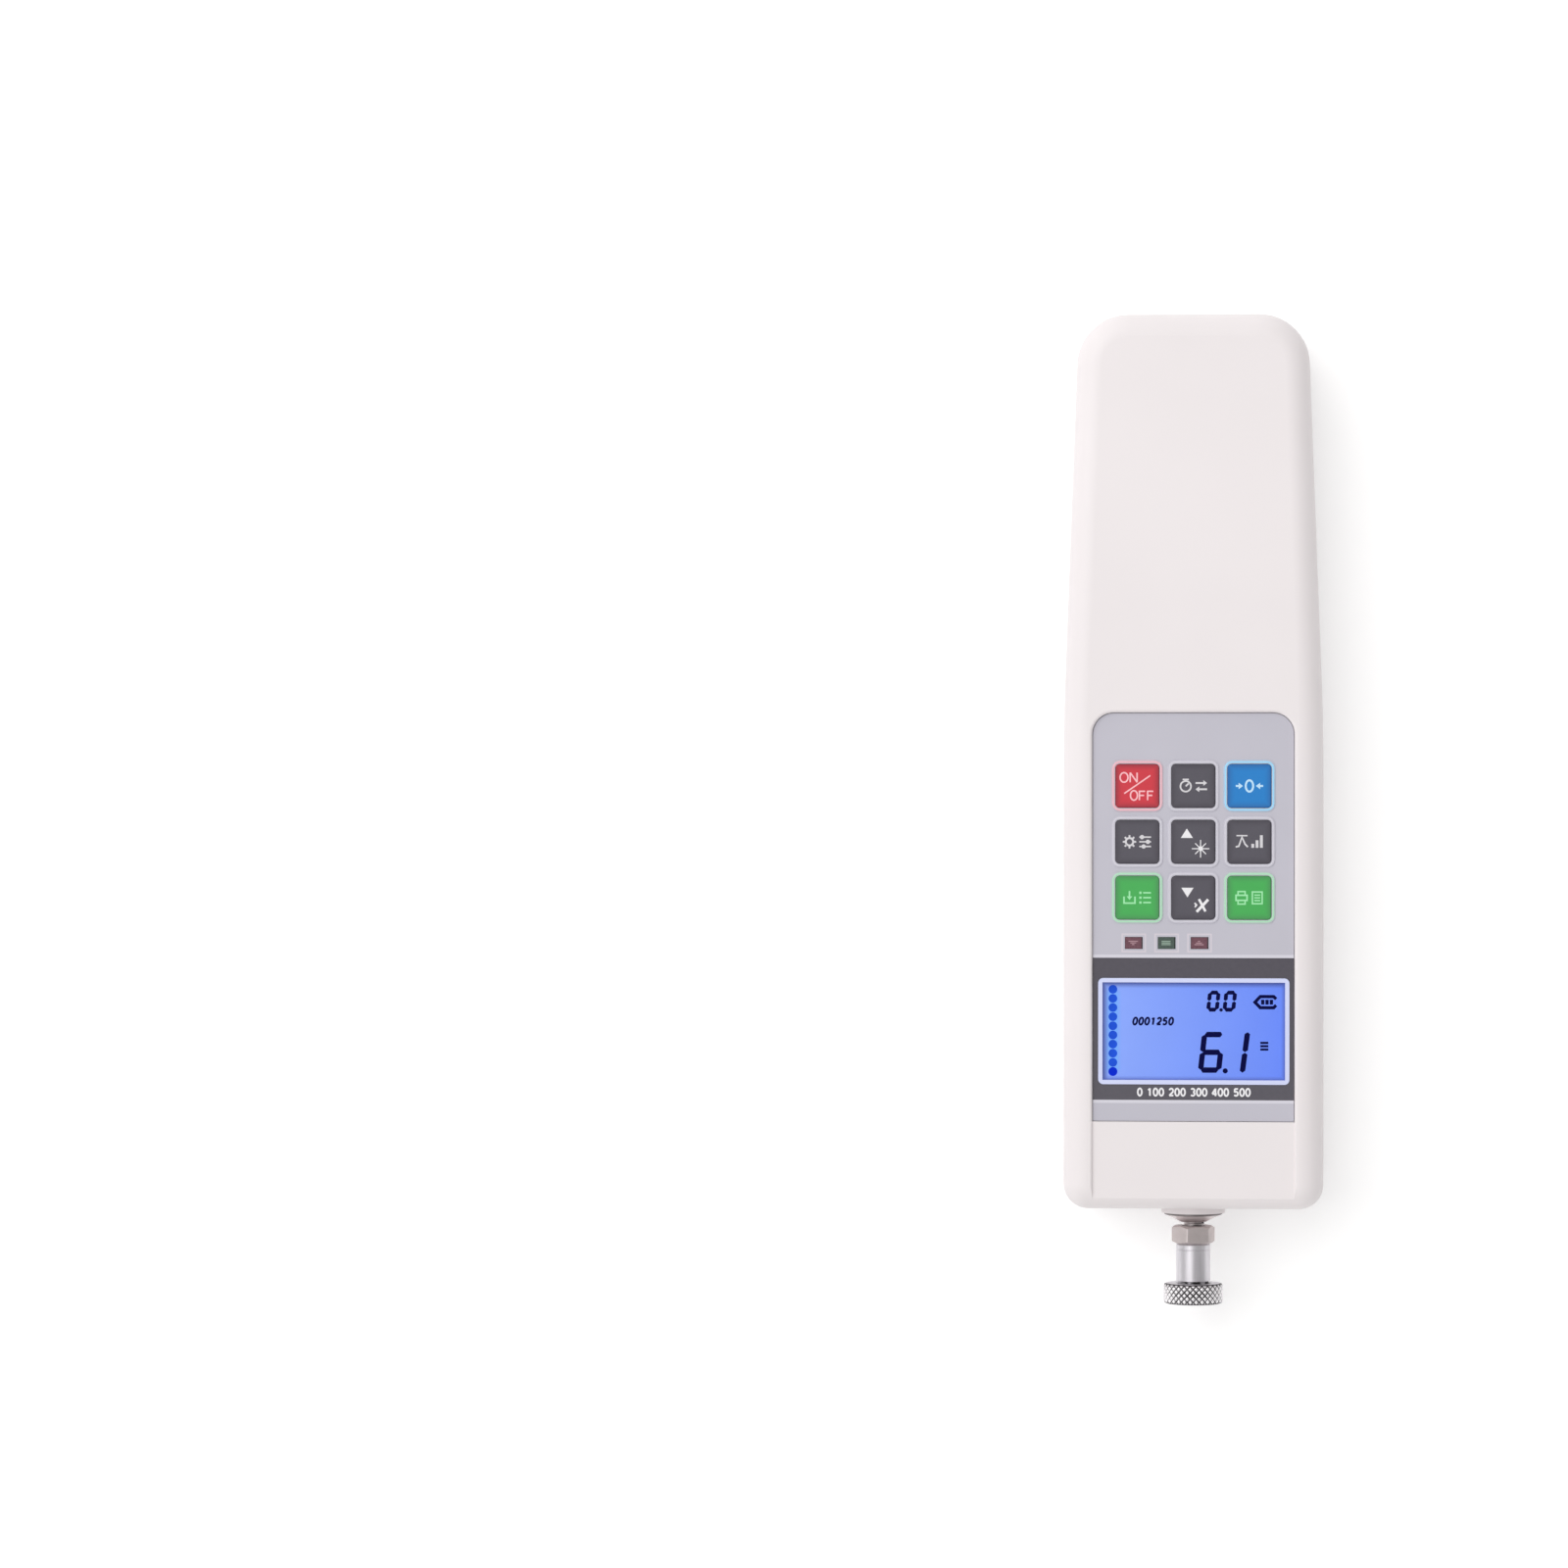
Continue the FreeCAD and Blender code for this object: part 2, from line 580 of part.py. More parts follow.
def apron_cutter():
    """Cutter for the flat face below the panel, open to the bottom end, with rounded edges on the rails."""
    floor_z = PANEL_FACE + APRON_STEP
    edge = min(RECESS_EDGE_RADIUS, APRON_EDGE_SHARE * (CASE_DEPTH - floor_z))
    half = RECESS_WIDTH / 2
    end_y = BOTTOM - CUT
    lower = edge * (1 - math.sqrt(0.5))
    right = [
        V(half, end_y, floor_z),
        V(half, end_y, CASE_DEPTH - edge),
        V(half + lower, end_y, CASE_DEPTH - lower),
        V(half + edge, end_y, CASE_DEPTH),
        V(half + edge, end_y, CASE_DEPTH + CUT),
    ]
    left = [V(-p.x, p.y, p.z) for p in right]
    edges = [
        Part.LineSegment(left[0], right[0]).toShape(),
        Part.LineSegment(right[0], right[1]).toShape(),
        Part.Arc(right[1], right[2], right[3]).toShape(),
        Part.LineSegment(right[3], right[4]).toShape(),
        Part.LineSegment(right[4], left[4]).toShape(),
        Part.LineSegment(left[4], left[3]).toShape(),
        Part.Arc(left[3], left[2], left[1]).toShape(),
        Part.LineSegment(left[1], left[0]).toShape(),
    ]
    return Part.Face(Part.Wire(edges)).extrude(V(0, RECESS_BOTTOM - end_y, 0))


def front_outside():
    """Outer form of the front cover, with its recess."""
    form = case_half(0, CASE_DEPTH, FRONT_EDGE)
    form = form.cut(recess_block())
    rim = [
        e
        for e in form.Edges
        if all(
            abs(v.Z - CASE_DEPTH) < 1e-4
            and abs(v.X) < RECESS_WIDTH / 2 + 1e-4
            and RECESS_BOTTOM - 1e-4 < v.Y < RECESS_TOP + 1e-4
            for v in e.Vertexes
        )
    ]
    form = form.makeFillet(RECESS_EDGE_RADIUS, rim)
    return form.cut(apron_cutter())


def key_places():
    """Each key's name and its middle."""
    for row, names in enumerate(KEY_ROWS):
        y = KEYS_TOP_Y - row * KEY_PITCH
        for column, name in enumerate(names):
            yield name, (column - 1) * KEY_PITCH, y


def light_places():
    """Each status light's name and its middle."""
    for i, name in enumerate(LIGHT_NAMES):
        yield name, LIGHT_MIDDLE_X + (i - 1) * LIGHT_PITCH, LIGHT_Y


def light_holes(z0, z1):
    """Cutters for the three status lights."""
    width = LIGHT_WIDTH + 2 * LIGHT_GAP
    height = LIGHT_HEIGHT + 2 * LIGHT_GAP
    return [
        box(x - width / 2, x + width / 2, y - height / 2, y + height / 2, z0, z1)
        for _, x, y in light_places()
    ]


def front_cover():
    """Moulded front cover: shell, panel wall, screw posts, board posts and ribs."""
    outside = front_outside()
    cavity = case_half(WALL, CASE_DEPTH - WALL, FRONT_EDGE - WALL)
    backing = box(
        -RECESS_WIDTH / 2 - WALL,
        RECESS_WIDTH / 2 + WALL,
        RECESS_BOTTOM - WALL,
        RECESS_TOP + WALL,
        PANEL_INSIDE,
        CASE_DEPTH,
    )
    shell = outside.cut(cavity.cut(backing))
    posts = [
        upright(CASE_POST_DIAMETER / 2, x, y, SEAM, CASE_DEPTH - WALL / 2) for x, y in CASE_POSTS
    ]
    posts += [
        upright(BOARD_POST_DIAMETER / 2, x, y, BOARD_FACE, PANEL_INSIDE + CUT) for x, y in BOARD_POSTS
    ]
    ribs = []
    for y in RIB_PLACES:
        reach = CASE_INSIDE - (y - TAPER_START) * CASE_TOP_NARROWING / (TOP - TAPER_START)
        ribs.append(
            box(
                -reach,
                reach,
                y - RIB_THICKNESS / 2,
                y + RIB_THICKNESS / 2,
                CASE_DEPTH - WALL - RIB_HEIGHT,
                CASE_DEPTH - WALL / 2,
            )
        )
    inner = case_half(WALL / 2, CASE_DEPTH - WALL / 2, FRONT_EDGE - WALL / 2)
    shell = joined([shell, nose_boss(True)] + [p.common(inner) for p in posts + ribs])
    cutters = [
        nose_hole(),
        recess_block(),
        seam_ring(WALL - LIP_WIDTH - LIP_GAP, WALL + CUT, SEAM, SEAM + LIP_HEIGHT + LIP_GAP),
    ]
    cutters += [
        upright(M3_SCREW[0] + SCREW_GAP, x, y, SEAM - CUT, CASE_SCREW_TIP + CUT) for x, y in CASE_POSTS
    ]
    cutters += [
        upright(SMALL_SCREW[0] + SCREW_GAP, x, y, BOARD_FACE - CUT, PANEL_INSIDE + CUT / 2)
        for x, y in BOARD_POSTS
    ]
    cutters += light_holes(PANEL_INSIDE - CUT, RECESS_FLOOR + CUT)
    cutters.append(display_plate(2 * LCD_GAP, PANEL_INSIDE - CUT, RECESS_FLOOR + CUT))
    cutters.append(lcd_rear_plate(2 * LCD_GAP, PANEL_INSIDE - CUT, LCD_STEP + LCD_GAP))
    cutters.append(
        box(
            -TAIL_WIDTH / 2 - TAIL_GAP,
            TAIL_WIDTH / 2 + TAIL_GAP,
            TAIL_Y - TAIL_GAP,
            TAIL_Y + TAIL_GAP,
            PANEL_INSIDE - CUT,
            RECESS_FLOOR + CUT,
        )
    )
    return shell.cut(cutters)


def rear_cover():
    """Moulded rear cover: shell, lip, screw posts, chassis posts and socket openings."""
    shell = case_half(0, 0, REAR_EDGE_RADIUS)
    cavity = case_half(WALL, WALL, REAR_EDGE_RADIUS - WALL)
    shell = shell.cut(cavity)
    lip = seam_ring(WALL - LIP_WIDTH, WALL, SEAM - CUT, SEAM + LIP_HEIGHT)
    posts = [upright(CASE_POST_DIAMETER / 2, x, y, WALL / 2, SEAM) for x, y in CASE_POSTS]
    posts += [
        upright(CHASSIS_POST_DIAMETER / 2, x, y, WALL / 2, CHASSIS_BACK) for x, y in CHASSIS_POSTS
    ]
    posts += [
        upright(SOCKET_BOARD_POST_DIAMETER / 2, x, y, WALL / 2, SOCKET_BOARD_BACK) for x, y in SOCKET_POSTS
    ]
    inner = case_half(WALL / 2, WALL / 2, REAR_EDGE_RADIUS - WALL / 2)
    shell = joined([shell, lip, nose_boss(False)] + [p.common(inner) for p in posts])
    recess = M3_SCREW[1] + CASE_SCREW_RECESS_GAP
    cutters = [nose_hole(), seam_ring(-CUT, SEAM_GROOVE, SEAM - SEAM_GROOVE, SEAM)]
    cutters += [upright(recess, x, y, -CUT, CASE_SCREW_RECESS) for x, y in CASE_POSTS]
    cutters += [
        upright(M3_SCREW[0] + SCREW_GAP, x, y, -CUT, SEAM + LIP_HEIGHT + CUT) for x, y in CASE_POSTS
    ]
    cutters += [
        upright(M3_SCREW[0] + SCREW_GAP, x, y, WALL, CHASSIS_BACK + CUT) for x, y in CHASSIS_POSTS
    ]
    cutters += [
        upright(SMALL_SCREW[0] + SCREW_GAP, x, y, WALL, SOCKET_BOARD_BACK + CUT) for x, y in SOCKET_POSTS
    ]
    cutters += [
        upright(STAND_BOSS_DIAMETER / 2 + STAND_BOSS_GAP, x, y, -CUT, WALL + CUT) for x, y in STAND_HOLES
    ]
    cutters.append(
        lengthwise(JACK_BARREL_RADIUS + SOCKET_HOLE_GAP, JACK_X, JACK_Z, TOP - WALL - CUT, TOP + CUT)
    )
    cutters.append(port_block(SOCKET_HOLE_GAP, TOP - WALL - CUT, TOP + CUT))
    return shell.cut(cutters)


def post_notches(gap, z0, z1):
    """Cutters that keep a plate clear of the case's screw posts."""
    return [upright(CASE_POST_DIAMETER / 2 + gap, x, y, z0, z1) for x, y in CASE_POSTS]


# Membrane panel and keys


def key_block(growth, radius, x, y, z0, z1):
    """Rounded square of a key, grown on every side."""
    size = KEY_SIZE + 2 * growth
    return rounded_plate(x, y, size, size, radius, z0, z1)


def display_block(growth, z0, z1):
    """Display frame's outline as a block, grown on every side."""
    width = DISPLAY_WIDTH + 2 * growth
    length = DISPLAY_LENGTH + 2 * growth
    return rounded_plate(DISPLAY_X, DISPLAY_Y, width, length, DISPLAY_CORNER_RADIUS + growth, z0, z1)


def display_plate(growth, z0, z1):
    """Opening inside the display frame as a block, grown on every side."""
    return box(
        DISPLAY_X - LCD_WIDTH / 2 - growth,
        DISPLAY_X + LCD_WIDTH / 2 + growth,
        DISPLAY_Y - LCD_LENGTH / 2 - growth,
        DISPLAY_Y + LCD_LENGTH / 2 + growth,
        z0,
        z1,
    )


def lcd_rear_plate(growth, z0, z1):
    """Rear glass of the display as a block, grown on every side. It is longer than the front glass."""
    return box(
        DISPLAY_X - LCD_WIDTH / 2 - LCD_BORDER - growth,
        DISPLAY_X + LCD_WIDTH / 2 + LCD_BORDER + growth,
        DISPLAY_Y - LCD_LENGTH / 2 - LCD_LEDGE - growth,
        DISPLAY_Y + LCD_LENGTH / 2 + LCD_LEDGE + growth,
        z0,
        z1,
    )


def graphic_overlay():
    """Printed top sheet, with a raised rim round each key."""
    sheet = panel_layer(OVERLAY_BACK, PANEL_FACE)
    rims = [
        key_block(
            KEY_GAP + KEY_RIM_WIDTH,
            KEY_CORNER_RADIUS + KEY_RIM_WIDTH,
            x,
            y,
            OVERLAY_BACK,
            PANEL_FACE + KEY_RIM_HEIGHT,
        )
        for _, x, y in key_places()
    ]
    openings = [
        key_block(KEY_GAP, KEY_CORNER_RADIUS, x, y, OVERLAY_BACK - CUT, PANEL_FACE + CUT)
        for _, x, y in key_places()
    ]
    openings += light_holes(OVERLAY_BACK - CUT, PANEL_FACE + CUT)
    openings.append(display_block(PANEL_GAP / 2, OVERLAY_BACK - CUT, PANEL_FACE + CUT))
    return joined([sheet] + rims).cut(openings)


def keypad_spacer():
    """Middle sheet, with room for each key to travel and for its dome."""
    sheet = panel_layer(SPACER_BACK, OVERLAY_BACK)
    openings = [
        key_block(2 * KEY_GAP, KEY_CORNER_RADIUS, x, y, SPACER_BACK - CUT, OVERLAY_BACK + CUT)
        for _, x, y in key_places()
    ]
    openings += light_holes(SPACER_BACK - CUT, OVERLAY_BACK + CUT)
    openings.append(display_block(PANEL_GAP / 2, SPACER_BACK - CUT, OVERLAY_BACK + CUT))
    return sheet.cut(openings)


def keypad_circuit():
    """Bottom sheet with the contacts. Its tail goes through the cover to the board."""
    sheet = panel_layer(RECESS_FLOOR, SPACER_BACK)
    openings = light_holes(RECESS_FLOOR - CUT, SPACER_BACK + CUT)
    openings.append(display_block(PANEL_GAP / 2, RECESS_FLOOR - CUT, SPACER_BACK + CUT))
    tail = box(
        -TAIL_WIDTH / 2,
        TAIL_WIDTH / 2,
        TAIL_Y - CIRCUIT_THICKNESS / 2,
        TAIL_Y + CIRCUIT_THICKNESS / 2,
        BOARD_FACE + CONNECTOR_HEIGHT / 2,
        SPACER_BACK,
    )
    return joined([sheet.cut(openings), tail])


def snap_dome(x, y):
    """Thin sprung cap under a key: a sloping rim with a flat top."""
    foot = KEY_SIZE / 2 - DOME_SPACE
    rise = DOME_HEIGHT - DOME_SHEET
    outer = Part.makeCone(foot, DOME_TOP_RADIUS, DOME_HEIGHT, V(x, y, SPACER_BACK))
    inner = Part.makeCone(foot - DOME_SHEET, DOME_TOP_RADIUS - DOME_SHEET, rise, V(x, y, SPACER_BACK))
    return outer.cut(inner)


def snap_domes():
    """The nine domes of the keypad."""
    return Part.makeCompound([snap_dome(x, y) for _, x, y in key_places()])


def key(x, y):
    """Key pad with a softened top edge. It travels down into the spacer's opening."""
    low = SPACER_BACK + DOME_HEIGHT + KEY_DOME_GAP
    high = PANEL_FACE + KEY_PROUD
    pad = key_block(0, KEY_CORNER_RADIUS, x, y, low, high)
    rim = [e for e in pad.Edges if all(abs(v.Z - high) < 1e-4 for v in e.Vertexes)]
    return pad.makeFillet(KEY_EDGE_RADIUS, rim)


# Display


def display_frame():
    """Pale frame round the display."""
    ring = display_block(0, WINDOW_FACE, PANEL_FACE + FRAME_PROUD)
    return ring.cut(display_plate(0, WINDOW_FACE - CUT, PANEL_FACE + CUT))


def display_window():
    """Clear sheet over the display, under its frame."""
    return display_block(0, RECESS_FLOOR, WINDOW_FACE)


def lcd_glass():
    """The two glasses of the display. The rear one is larger and carries the contacts."""
    front = display_plate(0, LCD_STEP, LCD_FRONT)
    rear = lcd_rear_plate(0, LCD_BACK, LCD_STEP)
    return joined([front, rear])


def backlight():
    """Light box behind the display, standing on the board."""
    return lcd_rear_plate(0, BOARD_FACE, LCD_BACK)


# Electronics


def main_board():
    """Main circuit board, with cut corners and four screw holes."""
    half, low, high, cut = BOARD_HALF, BOARD_BOTTOM, BOARD_TOP, BOARD_CORNER_CUT
    corners = [
        (half - cut, low),
        (half, low + cut),
        (half, high - cut),
        (half - cut, high),
        (cut - half, high),
        (-half, high - cut),
        (-half, low + cut),
        (cut - half, low),
    ]
    points = [V(x, y, BOARD_BACK) for x, y in corners]
    board = Part.Face(Part.makePolygon(points + points[:1])).extrude(V(0, 0, BOARD_THICKNESS))
    holes = [
        upright(SMALL_SCREW[0] + SCREW_GAP, x, y, BOARD_BACK - CUT, BOARD_FACE + CUT) for x, y in BOARD_POSTS
    ]
    holes += post_notches(BOARD_POST_GAP, BOARD_BACK - CUT, BOARD_FACE + CUT)
    return board.cut(holes)


def chip(x, y, width, length, height):
    """Chip under the board, with a row of legs on two sides."""
    top = BOARD_BACK
    body = box(x - width / 2, x + width / 2, y - length / 2, y + length / 2, top - height, top - height / 10)
    leg = CHIP_LEG
    count = int(length / (3 * leg))
    legs = [
        box(
            x + side * (width / 2 + leg) - leg,
            x + side * (width / 2 + leg) + leg,
            y + (i - (count - 1) / 2) * 3 * leg - leg / 2,
            y + (i - (count - 1) / 2) * 3 * leg + leg / 2,
            top - height / 2,
            top,
        )
        for side in (-1, 1)
        for i in range(count)
    ]
    return joined([body] + legs)


def controller_chip():
    """Microcontroller on the back of the board, beyond the bracket."""
    y = BRACKET_BACK + CHIPS_START + CONTROLLER_SIZE / 2
    return chip(0, y, CONTROLLER_SIZE, CONTROLLER_SIZE, CHIP_HEIGHT)


def signal_chips():
    """Load cell converter, memory chip and crystal can, on both sides of the controller."""
    width, length, height = CRYSTAL_CAN
    start = BRACKET_BACK + CHIPS_START / 2
    crystal_y = start + length / 2
    crystal = rounded_plate(
        CHIPS_SIDE_X, crystal_y, width, length, width * 0.48, BOARD_BACK - height, BOARD_BACK
    )
    converter_y = start + CONVERTER_SIZE[1] / 2
    memory_y = start + CONVERTER_SIZE[1] + CHIPS_SPACE + MEMORY_SIZE[1] / 2
    return Part.makeCompound(
        [
            chip(-CHIPS_SIDE_X, converter_y, *CONVERTER_SIZE, CHIP_HEIGHT),
            chip(-CHIPS_SIDE_X, memory_y, *MEMORY_SIZE, CHIP_HEIGHT),
            crystal,
        ]
    )


def buzzer():
    """Round sounder under the board, with a sound hole."""
    x = CHIPS_SIDE_X
    y = BRACKET_BACK + CHIPS_START / 2 + CRYSTAL_CAN[1] + CHIPS_SPACE + BUZZER_DIAMETER / 2
    low = BOARD_BACK - BUZZER_HEIGHT
    can = upright(BUZZER_DIAMETER / 2, x, y, low, BOARD_BACK)
    return can.cut(upright(BUZZER_HOLE_RADIUS, x, y, low - CUT, BOARD_BACK - BUZZER_HEIGHT / 2))


def keypad_connector():
    """Connector on the board, which holds the end of the keypad's tail."""
    body = box(
        -TAIL_WIDTH / 2 - CONNECTOR_SIDE_WALL,
        TAIL_WIDTH / 2 + CONNECTOR_SIDE_WALL,
        TAIL_Y - CONNECTOR_DEPTH / 2,
        TAIL_Y + CONNECTOR_DEPTH / 2,
        BOARD_FACE,
        BOARD_FACE + CONNECTOR_HEIGHT,
    )
    gap = CIRCUIT_THICKNESS / 2 + PANEL_GAP / 2
    slot = box(
        -TAIL_WIDTH / 2 - gap,
        TAIL_WIDTH / 2 + gap,
        TAIL_Y - gap,
        TAIL_Y + gap,
        BOARD_FACE + CONNECTOR_HEIGHT / 2 - PANEL_GAP / 2,
        BOARD_FACE + CONNECTOR_HEIGHT + CUT,
    )
    return body.cut(slot)


def status_light(x, y):
    """Light with a rectangular lens that reaches from the board to the panel's face."""
    lens = box(
        x - LIGHT_WIDTH / 2,
        x + LIGHT_WIDTH / 2,
        y - LIGHT_HEIGHT / 2,
        y + LIGHT_HEIGHT / 2,
        BOARD_FACE,
        PANEL_FACE - LIGHT_GAP,
    )
    foot = box(
        x - LIGHT_WIDTH / 2 - LIGHT_FOOT,
        x + LIGHT_WIDTH / 2 + LIGHT_FOOT,
        y - LIGHT_HEIGHT / 2 - LIGHT_FOOT,
        y + LIGHT_HEIGHT / 2 + LIGHT_FOOT,
        BOARD_FACE,
        BOARD_FACE + LIGHT_FOOT_HEIGHT,
    )
    return joined([foot, lens])


def board_screws():
    """Four screws that hold the board to the front cover's posts."""
    return Part.makeCompound(
        [upright_screw(SMALL_SCREW, x, y, BOARD_BACK, PANEL_INSIDE) for x, y in BOARD_POSTS]
    )


# Chassis, load cell and bracket


def chassis_plate():
    """Metal plate that takes the load, with four threaded bosses flush with the case's back."""
    length = CHASSIS_TOP_Y - CHASSIS_BOTTOM_Y
    plate = rounded_plate(
        0,
        CHASSIS_BOTTOM_Y + length / 2,
        CHASSIS_WIDTH,
        length,
        CHASSIS_CORNER_RADIUS,
        CHASSIS_BACK,
        CHASSIS_FACE,
    )
    bosses = [upright(STAND_BOSS_DIAMETER / 2, x, y, 0, CHASSIS_FACE) for x, y in STAND_HOLES]
    blind = CHASSIS_FACE - STAND_HOLE_FLOOR
    holes = [upright(STAND_HOLE_RADIUS, x, y, -CUT, blind) for x, y in STAND_HOLES]
    holes += [
        upright(M3_SCREW[0] + SCREW_GAP, x, y, CHASSIS_BACK - CUT, CHASSIS_FACE + CUT)
        for x, y in CHASSIS_POSTS
    ]
    holes += [
        upright(M4_SCREW[0] + SCREW_GAP, x, BRACKET_SCREW_Y, CHASSIS_BACK - CUT, CHASSIS_FACE + CUT)
        for x in (-BRACKET_SCREW_X, BRACKET_SCREW_X)
    ]
    holes += [
        upright(M3_SCREW[0] + SCREW_GAP, x, TRAY_SCREW_Y, CHASSIS_BACK - CUT, CHASSIS_FACE + CUT)
        for x in (-TRAY_SCREW_X, TRAY_SCREW_X)
    ]
    holes += post_notches(CHASSIS_POST_GAP, CHASSIS_BACK - CUT, CHASSIS_FACE + CUT)
    return joined([plate] + bosses).cut(holes)


def chassis_screws():
    """Four screws that hold the chassis plate to the rear cover's posts."""
    return Part.makeCompound(
        [upright_screw(M3_SCREW, x, y, CHASSIS_FACE, WALL + SCREW_GAP) for x, y in CHASSIS_POSTS]
    )


def cell_cutter(x0, x1, y0, y1):
    """Block that cuts right through the load cell's thickness."""
    return box(min(x0, x1), max(x0, x1), y0, y1, CELL_BACK - CUT, CELL_FACE + CUT)


def load_cell():
    """S-shaped beam: two slots from opposite sides, and a double window between them."""
    block = box(-CELL_WIDTH / 2, CELL_WIDTH / 2, CELL_BOTTOM, CELL_TOP, CELL_BACK, CELL_FACE)
    cutters = []
    for side, y in ((-1, CELL_BOTTOM + CELL_ARM), (1, CELL_TOP - CELL_ARM - CELL_SLOT)):
        inner = -side * (CELL_WIDTH / 2 - CELL_SLOT_WEB)
        cutters.append(cell_cutter(inner, side * (CELL_WIDTH / 2 + CUT), y, y + CELL_SLOT))
        cutters.append(upright(CELL_SLOT, inner, y + CELL_SLOT / 2, CELL_BACK - CUT, CELL_FACE + CUT))
    for x in (-CELL_HOLE_PITCH / 2, CELL_HOLE_PITCH / 2):
        cutters.append(upright(CELL_HOLE_RADIUS, x, CELL_Y, CELL_BACK - CUT, CELL_FACE + CUT))
    cutters.append(
        cell_cutter(-CELL_HOLE_PITCH / 2, CELL_HOLE_PITCH / 2, CELL_Y - CELL_SLOT, CELL_Y + CELL_SLOT)
    )
    for y in (CELL_BOTTOM, CELL_TOP - CELL_ARM):
        cutters.append(lengthwise(THREAD_RADIUS, 0, AXIS_Z, y - CUT, y + CELL_ARM + CUT))
    return block.cut(cutters)


def strain_gauges():
    """Four foil gauges in the load cell's windows, at the thinnest walls."""
    width, depth, foil = GAUGE_FOIL
    half_chord = width / 2
    sink = CELL_HOLE_RADIUS - math.sqrt(CELL_HOLE_RADIUS**2 - half_chord**2)
    patches = []
    for x in (-CELL_HOLE_PITCH / 2, CELL_HOLE_PITCH / 2):
        for side in (-1, 1):
            outer = CELL_Y + side * (CELL_HOLE_RADIUS - sink)
            inner = outer - side * foil
            patches.append(
                box(
                    x - half_chord,
                    x + half_chord,
                    min(inner, outer),
                    max(inner, outer),
                    AXIS_Z - depth / 2,
                    AXIS_Z + depth / 2,
                )
            )
    return Part.makeCompound(patches)


def sensor_bracket():
    """Angle bracket: its wall holds the load cell, and its foot is screwed to the chassis plate."""
    half = BRACKET_WIDTH / 2
    wall = box(-half, half, CELL_TOP, BRACKET_BACK, CHASSIS_FACE, CELL_FACE)
    foot = box(-half, half, CELL_TOP, BRACKET_END, CHASSIS_FACE, FOOT_FACE)
    holes = [lengthwise(THREAD_RADIUS, 0, AXIS_Z, CELL_TOP - CUT, BRACKET_BACK + CUT)]
    holes += [
        upright(M4_SCREW[0] + SCREW_GAP, x, BRACKET_SCREW_Y, CHASSIS_FACE - CUT, FOOT_FACE + CUT)
        for x in (-BRACKET_SCREW_X, BRACKET_SCREW_X)
    ]
    return joined([wall, foot]).cut(holes)


def bracket_screws():
    """Two screws that hold the bracket's foot."""
    return Part.makeCompound(
        [
            upright_screw(M4_SCREW, x, BRACKET_SCREW_Y, FOOT_FACE, CHASSIS_BACK)
            for x in (-BRACKET_SCREW_X, BRACKET_SCREW_X)
        ]
    )


def sensor_bolt():
    """Socket-head bolt that ties the load cell to the bracket."""
    head_end = BRACKET_BACK + SENSOR_BOLT_HEAD_HEIGHT
    tip = CELL_TOP - CELL_ARM
    bolt = turned(
        [
            (0, tip),
            (STUD_RADIUS, tip),
            (STUD_RADIUS, BRACKET_BACK),
            (SENSOR_BOLT_HEAD_RADIUS, BRACKET_BACK),
            (SENSOR_BOLT_HEAD_RADIUS, head_end - SCREW_CHAMFER),
            (SENSOR_BOLT_HEAD_RADIUS - SCREW_CHAMFER, head_end),
            (0, head_end),
        ]
    )
    return bolt.cut(hex_bar(SENSOR_BOLT_SOCKET, head_end - SENSOR_BOLT_HEAD_HEIGHT / 2, head_end + CUT, 0))


# Nose, shaft and measuring head


def nose_bush():
    """Cone outside the case, with a sleeve through its bottom wall. Its tip guides the shaft."""
    sleeve_end = BOTTOM + WALL + NOSE_NUT_THICKNESS
    return turned(
        [
            (NOSE_BORE_RADIUS, NOSE_TIP),
            (NOSE_TIP_RADIUS, NOSE_TIP),
            (NOSE_RIM_RADIUS, NOSE_SEAT - NOSE_RIM_EDGE),
            (NOSE_RIM_RADIUS, NOSE_SEAT),
            (NOSE_SLEEVE_RADIUS, NOSE_SEAT),
            (NOSE_SLEEVE_RADIUS, sleeve_end),
            (NOSE_RELIEF_RADIUS, sleeve_end),
            (NOSE_RELIEF_RADIUS, NOSE_SEAT),
            (NOSE_BORE_RADIUS, NOSE_SEAT),
        ]
    )


def nose_nut():
    """Thin nut that clamps the nose bush from inside the case."""
    low = BOTTOM + WALL
    high = low + NOSE_NUT_THICKNESS
    nut = hex_bar(NOSE_NUT_FLATS, low, high, 0)
    return nut.cut(lengthwise(NOSE_SLEEVE_RADIUS + THREAD_GAP, 0, AXIS_Z, low - CUT, high + CUT))


def measuring_shaft():
    """Threaded rod from the load cell to the measuring head, with a collar under the load cell."""
    top = CELL_BOTTOM + CELL_ARM - SHAFT_END_GAP
    tip = HEAD_TOP - HEAD_BORE_DEPTH + HEAD_BORE_END_GAP
    return turned(
        [
            (0, tip),
            (STUD_RADIUS - SHAFT_BEVEL, tip),
            (STUD_RADIUS, tip + SHAFT_BEVEL),
            (STUD_RADIUS, CELL_BOTTOM - SHAFT_COLLAR_THICKNESS),
            (SHAFT_COLLAR_RADIUS, CELL_BOTTOM - SHAFT_COLLAR_THICKNESS),
            (SHAFT_COLLAR_RADIUS, CELL_BOTTOM),
            (STUD_RADIUS, CELL_BOTTOM),
            (STUD_RADIUS, top),
            (0, top),
        ]
    )


def lock_nut():
    """Nut that locks the measuring head on the shaft."""
    return hex_nut(LOCK_NUT_FLATS, LOCK_NUT_THICKNESS, NUT_BOTTOM, THREAD_RADIUS, LOCK_NUT_TURN)


